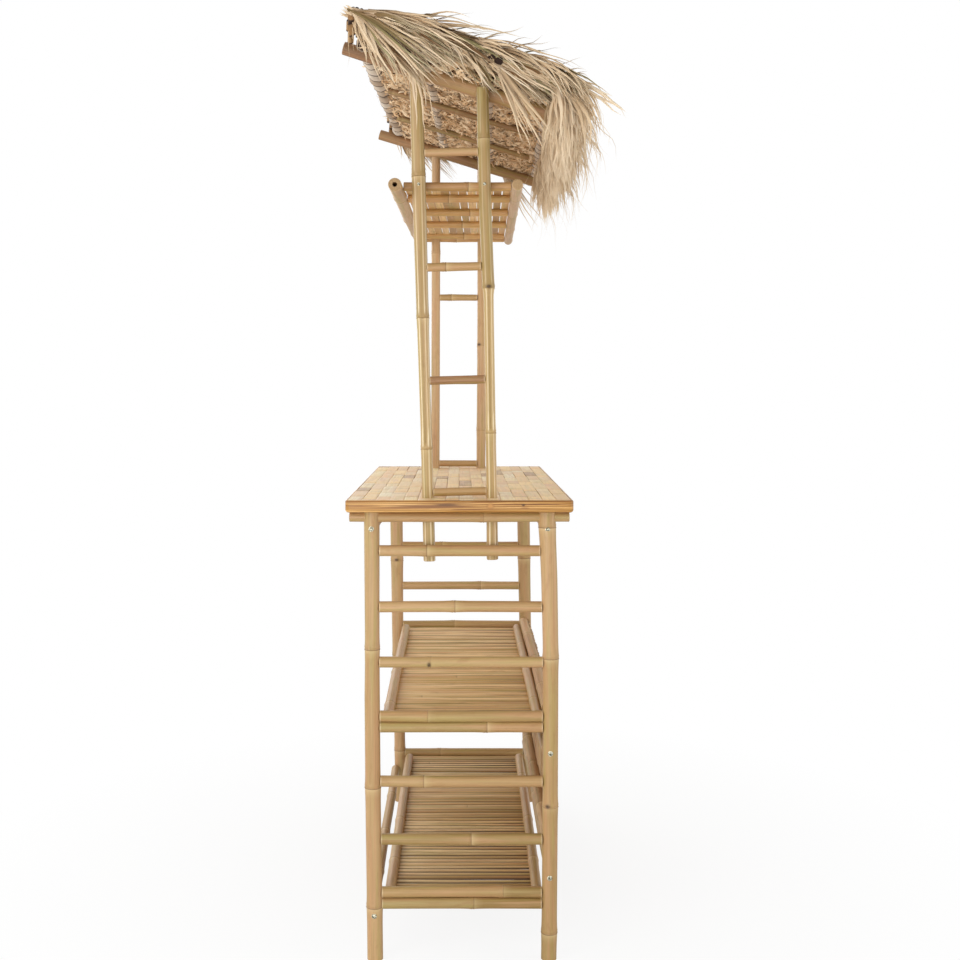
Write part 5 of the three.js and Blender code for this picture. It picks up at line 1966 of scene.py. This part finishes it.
            # The fan at the back corner: the steeper a blade falls, the shorter it is
            (s, h), count = self.fan_roots[0], 30
            fall = np.sort(rng.uniform(-0.1, 0.98, count))
            roots.append((rng.normal(s, 4 * MM, count), rng.normal(h, 3 * MM, count)))
            angles.append(fall)
            lengths.append(np.interp(fall, [0.0, 0.35, 0.62, 0.95], [0.26, 0.27, 0.21, 0.125]))
            # The fan at the second course
            (s, h), count = self.fan_roots[1], 17
            roots.append((rng.normal(s, 7 * MM, count), rng.normal(h, 4 * MM, count)))
            angles.append(rng.uniform(-0.05, 0.5, count))
            lengths.append(rng.uniform(0.10, 0.17, count))
            # Locks that hang lower, two of them across the rafter
            s, h, fall, length = np.array(self.locks[: None if side < 0 else 4]).T
            roots.append((s, h))
            angles.append(fall)
            lengths.append(length)
            # The ragged edge between them, which starts on the mat's top and side
            count = 84
            s = rng.uniform(-0.235, 0.262, count)
            h = self.top(s) - rng.uniform(0, 40, count) * MM
            fall = rng.uniform(0.02, 0.70, count)
            tip = rng.normal(24 if side < 0 else 40, 8, count) * MM
            tip = tip + 20 * MM * smooth_step(0.08, 0.16, s)
            longer = rng.random(count) < 0.05
            tip[longer] -= rng.uniform(15, 50, longer.sum()) * MM
            roots.append((s, h))
            angles.append(fall)
            longest = rng.uniform(0.11, 0.22, count)
            lengths.append(np.clip((h - tip) / np.sin(fall + 0.02), 0.045, longest))

            s, h = (np.concatenate(part) for part in zip(*roots))
            fall, reach = np.concatenate(angles), np.concatenate(lengths)
            count = len(s)
            out = side * rng.uniform(0.0, 0.12, count)
            down = self.aim(np.cos(fall), out, -np.sin(fall))
            across = self.aim(np.sin(fall), np.zeros(count), np.cos(fall))
            places = self.at(side * rng.uniform(0.574, 0.600, count), s, h)
            starts, aims = self.bunches(rng, places, down, across * 0.55, size)
            total = count * size
            surface = BLADES.surface(
                starts, aims, side * self.along + 0.3 * self.lift + rng.normal(0, 0.25, (total, 3)),
                np.repeat(reach, size) * rng.uniform(0.72, 1.08, total),
                rng.uniform(5.5, 11.5, total) * MM, rng.uniform(0.0, 0.22, total),
                self.tones(rng, count, size), rng.uniform(0.1, 0.8, total), 480 + side,
                crinkle=3.5 * MM,
            )
            leaf_piece(f"thatch_end_{name}", BLADE_FINISH, [surface])

    def build_fringe(self) -> None:
        """The curtain at the front edge: bunches that run over the edge and hang with thin tips."""
        rng = np.random.default_rng(500)
        size = 4
        parts = []
        # From the inner side outwards: how many, places, heights off the top, how far below the
        # edge, first fall, bend, length, and the spread of the tones with their least value
        layers = (
            (100, (0.240, 0.262), (36, 60), (0, 0), (0.9, 1.75), (0.2, 1.2), (60, 125), (0.5, 0.42)),
            (135, (0.225, 0.266), (8, 40), (0, 0), (0.35, 1.2), (0.7, 1.6), (90, 165), (0.5, 0.42)),
            (120, (0.18, 0.262), (-2, 12), (0, 0), (0.0, 0.5), (0.6, 1.4), (110, 180), (0.5, 0.5)),
            (165, (0.250, 0.285), (15, 40), (15, 75), (0.7, 1.7), (0.4, 1.6), (45, 105), (0.15, 0.85)),
        )
        for index, (count, places, depths, drops, falls, bends, lengths, shades) in enumerate(layers):
            u = rng.uniform(-self.half_length + 6 * MM, self.half_length - 6 * MM, count)
            s = rng.uniform(*places, count)
            h = self.top(s) - rng.uniform(*depths, count) * MM
            fall = rng.uniform(*falls, count)
            yaw = rng.normal(0, 0.28, count)
            aims = self.aim(np.cos(fall) * np.cos(yaw), np.sin(yaw), -np.sin(fall))
            across = np.repeat(self.along[None], count, 0) * 1.3
            starts = self.at(u, s, h) - UP * rng.uniform(*drops, count)[:, None] * MM
            roots, aims = self.bunches(rng, starts, aims, across, size)
            total = count * size
            facing = 0.5 * self.slope + 0.8 * np.sign(u).repeat(size)[:, None] * self.along
            layer = BLADES.surface(
                roots, aims, facing + rng.normal(0, 0.5, (total, 3)),
                rng.uniform(*lengths, total) * MM, rng.uniform(5.5, 11.5, total) * MM,
                rng.uniform(*bends, total), self.tones(rng, count, size) * shades[0] + shades[1],
                rng.uniform(0.0, 0.4, total), 501 + index, crinkle=3 * MM,
            )
            parts.append(layer)
        # Thin single wisps below and outside the curtain
        count = 220
        s = rng.uniform(0.235, 0.268, count)
        fall = rng.uniform(-0.1, 1.7, count)
        yaw = rng.normal(0, 0.35, count)
        wisps = BLADES.surface(
            self.at(rng.uniform(-0.6, 0.6, count), s, self.top(s) - rng.uniform(0, 55, count) * MM),
            self.aim(np.cos(fall), np.sin(yaw), -np.sin(fall)),
            self.slope + rng.normal(0, 0.4, (count, 3)), rng.uniform(120, 235, count) * MM,
            rng.uniform(1.6, 3.2, count) * MM, rng.uniform(0.5, 1.6, count),
            rng.uniform(0.5, 1.0, count), rng.uniform(0.0, 0.4, count), 510, crinkle=12 * MM,
        )
        leaf_piece("thatch_fringe", BLADE_FINISH, [*parts, wisps], "front_fringe")

    def build_whiskers(self) -> None:
        """Single thin blades off the top, a frayed tip at each back corner, and hanging threads."""
        rng = np.random.default_rng(520)
        count = 400
        s = rng.uniform(-0.25, 0.25, count)
        yaw = rng.normal(0, 0.45, count)
        off_top = BLADES.surface(
            self.at(rng.uniform(-0.6, 0.6, count), s, self.top(s) - 2 * MM),
            self.aim(np.cos(yaw), np.sin(yaw), rng.uniform(0.05, 0.75, count)),
            self.along + rng.normal(0, 0.5, (count, 3)),
            np.minimum(rng.uniform(45, 150, count) * MM, 0.31 - s), rng.uniform(2.5, 6.5, count) * MM,
            rng.uniform(0.0, 0.35, count), self.tones(rng, count, 1), rng.uniform(0.1, 0.5, count), 521,
            crinkle=4 * MM,
        )
        count = 44
        side = rng.choice([-1.0, 1.0], count)
        u = side * rng.uniform(0.555, 0.604, count)
        frayed = BLADES.surface(
            self.at(u, rng.normal(-0.249, 0.004, count), rng.normal(0.078, 0.007, count)),
            self.aim(-rng.uniform(0.4, 1.0, count), side * 0.15, rng.uniform(0.1, 0.9, count)),
            side[:, None] * self.along + rng.normal(0, 0.4, (count, 3)),
            rng.uniform(16, 34, count) * MM, rng.uniform(4.0, 9.0, count) * MM, np.full(count, 0.1),
            rng.uniform(0.6, 1.0, count), rng.uniform(0.0, 0.3, count), 522,
        )
        s, h = np.array([-0.2426, -0.2299, -0.236]), np.array([0.0294, 0.0262, 0.040])
        threads = BLADES.surface(
            self.at(np.full(3, -0.598), s, h), np.repeat(-UP[None], 3, 0),
            np.repeat(self.along[None], 3, 0), np.array([81, 38, 30]) * MM, np.full(3, 2.0 * MM),
            np.zeros(3), np.full(3, 0.6), np.zeros(3), 523,
        )
        leaf_piece("thatch_whiskers", BLADE_FINISH, [off_top, frayed, threads])


@dataclass
class Fasteners:
    """Bolt heads where the long poles and the rack are drawn to the legs and posts."""

    head_radius: float = 4.4 * MM
    washer_radius: float = 5.9 * MM
    rise: float = 3.2 * MM
    # Size of the rack's heads, and how far above its back pole's middle line they sit
    rack_share: float = 0.6
    rack_rise: float = 6 * MM

    def head(self, place: Array, outward: Array, radius: float) -> Surface:
        """A domed head with a hollow socket on a thin washer: a profile turned about its axis.

        Args:
            place: The point of the pole where it sits.
            outward: Unit vector out of the pole.
            radius: Radius of the head.

        Returns:
            The head's surface.
        """
        k = radius / self.head_radius
        profile = np.array(
            [
                (self.washer_radius, -1.5 * MM),
                (self.washer_radius, 0.7 * MM),
                (self.head_radius, 0.9 * MM),
                (self.head_radius * 0.96, 1.9 * MM),
                (self.head_radius * 0.72, 2.9 * MM),
                (self.head_radius * 0.48, self.rise),
                (self.head_radius * 0.42, self.rise - 0.3 * MM),
                (self.head_radius * 0.36, 1.5 * MM),
            ]
        ) * k
        angle = np.arange(16) / 16 * TURN
        across = unit(np.cross(outward, UP))
        over = np.cross(outward, across)
        circle = np.cos(angle)[:, None] * across + np.sin(angle)[:, None] * over
        rings = place + profile[:, :1, None] * circle[None] + profile[:, 1:, None] * outward
        tips = [place + profile[row, 1] * outward for row in (0, -1)]
        return tube(rings, {"tone": np.zeros(rings.shape[:2])}, *tips)

    def build(self) -> None:
        """Places a head at each long pole's height on the legs, and at the rack's on the posts."""
        heads = []
        poles = {
            "front": ("apron_front", "stretcher_front_upper", "stretcher_front_lower"),
            "back": ("apron_back", "stretcher_back"),
        }
        legs, posts = LegFrames(), PostFrames()
        rack_height = float(Axis.of("rack_pole_back").start[2]) + self.rack_rise
        for side, outward in (("left", LEFT), ("right", RIGHT)):
            for face, names in poles.items():
                leg = legs.leg(f"{side}_{face}")
                for name in names:
                    place = self.on_pole(leg, float(Axis.of(name).start[2]), outward)
                    heads.append(self.head(place, outward, self.head_radius))
            for face in ("front", "back"):
                place = self.on_pole(posts.post(side, face), rack_height, outward)
                heads.append(self.head(place, outward, self.head_radius * self.rack_share))
        make_piece("bolt_heads", Surface.joined(heads), STEEL.material())

    def on_pole(self, pole: Culm, height: float, outward: Array) -> Array:
        """The point of an upright pole's outer side at a height."""
        middle, radius = pole.joint(height)
        return middle + outward * (radius - 0.1 * MM)


# Studio


@dataclass
class Studio:
    """The camera at the photograph's place, a pale floor, and plain soft light."""

    camera_place: tuple[float, float, float] = (-3.4844, 0.0458, 1.312)
    lens: float = 48.1
    shift: tuple[float, float] = (0.0215, -0.10)
    floor_size: float = 30.0
    floor_drop: float = 0.2 * MM
    sky: float = 0.46
    # Name, place, height of the middle that it faces, size and power of each lamp
    lamps: tuple[tuple[str, Places, float, float, float], ...] = (
        ("key", (-3.0, 2.6, 2.3), 1.2, 2.0, 50.0), ("low", (-3.6, 0.8, 0.5), 1.6, 1.8, 46.0),
        ("fill", (-1.2, -3.6, 1.6), 1.2, 2.4, 44.0), ("side", (0.6, 3.6, 1.4), 1.2, 2.4, 24.0),
        ("rear", (3.2, 1.8, 2.8), 1.2, 2.6, 44.0),
    )

    def build(self) -> None:
        """Makes the camera, the world, the lamps and the floor."""
        scene = bpy.context.scene
        scene.view_settings.view_transform = "Standard"
        camera = bpy.data.objects.new("camera", bpy.data.cameras.new("camera"))
        camera.location = self.camera_place
        camera.rotation_euler = (math.pi / 2, 0.0, -math.pi / 2)
        camera.data.lens = self.lens
        camera.data.shift_x, camera.data.shift_y = self.shift
        scene.collection.objects.link(camera)
        scene.camera = camera
        self.build_world()
        for lamp in self.lamps:
            self.add_lamp(*lamp)
        self.build_floor()

    def build_world(self) -> None:
        """An even pale sky that the camera sees as white."""
        world = bpy.data.worlds.new("studio")
        bpy.context.scene.world = world
        world.use_nodes = True
        tree = world.node_tree
        rays = add_node(tree, "LightPath").outputs
        seen = computed(tree, "Math", "MAXIMUM", rays["Is Camera Ray"], rays["Is Glossy Ray"])
        strength = masked(tree, seen, 0.0, 1.0, 1.0, self.sky)
        feed(tree, tree.nodes["Background"], {"Color": linear("#ffffff"), "Strength": strength})

    def add_lamp(self, name: str, place: Places, height: float, size: float, power: float) -> None:
        """Adds one square lamp that faces the bar's middle line at a height.

        Args:
            name: Name of the lamp.
            place: Where it is.
            height: Height of the point that it faces.
            size: Length of its sides.
            power: Its power in watts.
        """
        data = bpy.data.lights.new(name, "AREA")
        data.size = size
        data.energy = power
        lamp = bpy.data.objects.new(name, data)
        away = Vector(place) - Vector((0.0, 0.0, height))
        lamp.location = place
        lamp.rotation_euler = away.to_track_quat("Z", "Y").to_euler()
        bpy.context.scene.collection.objects.link(lamp)

    def build_floor(self) -> None:
        """A pale floor that keeps the hut's shadow and fades to the white behind it."""
        half = self.floor_size / 2
        mesh = bpy.data.meshes.new("floor")
        signs = ((-1, -1), (1, -1), (1, 1), (-1, 1))
        corners = [(sx * half, sy * half, -self.floor_drop) for sx, sy in signs]
        mesh.from_pydata(corners, [], [(0, 1, 2, 3)])
        material, tree, shader = blank_material("pale_floor")
        place = add_node(tree, "TexCoord").outputs["Object"]
        away = computed(tree, "VectorMath", "LENGTH", place, output="Value")
        feed(tree, shader, {"Base Color": linear("#f4f3f1"), "Roughness": 0.9})
        glow = add_node(tree, "Emission", {"Color": linear("#ffffff"), "Strength": 1.0}).outputs[0]
        seen = add_node(tree, "LightPath").outputs["Is Camera Ray"]
        share = computed(tree, "Math", "MULTIPLY", seen, masked(tree, away, 0.2, 1.5, 1.0, 0.85))
        mixed = add_node(tree, "MixShader", {0: share, 1: shader.outputs[0], 2: glow}).outputs[0]
        feed(tree, tree.nodes["Material Output"], {"Surface": mixed})
        mesh.materials.append(material)
        floor = bpy.data.objects.new("floor", mesh)
        bpy.context.scene.collection.objects.link(floor)


def main() -> None:
    """Builds the studio and every sub-assembly in order."""
    logging.basicConfig(level=logging.INFO, format="%(name)s: %(message)s")
    Studio().build()
    for assembly in (
        LegFrames(), LongPoles(), FrontScreen(), Shelves(), Counter(), PostFrames(), Rack(), Roof(),
        Fasteners(),
    ):
        LOG.info("%s", type(assembly).__name__)
        assembly.build()


if __name__ == "__main__":
    main()
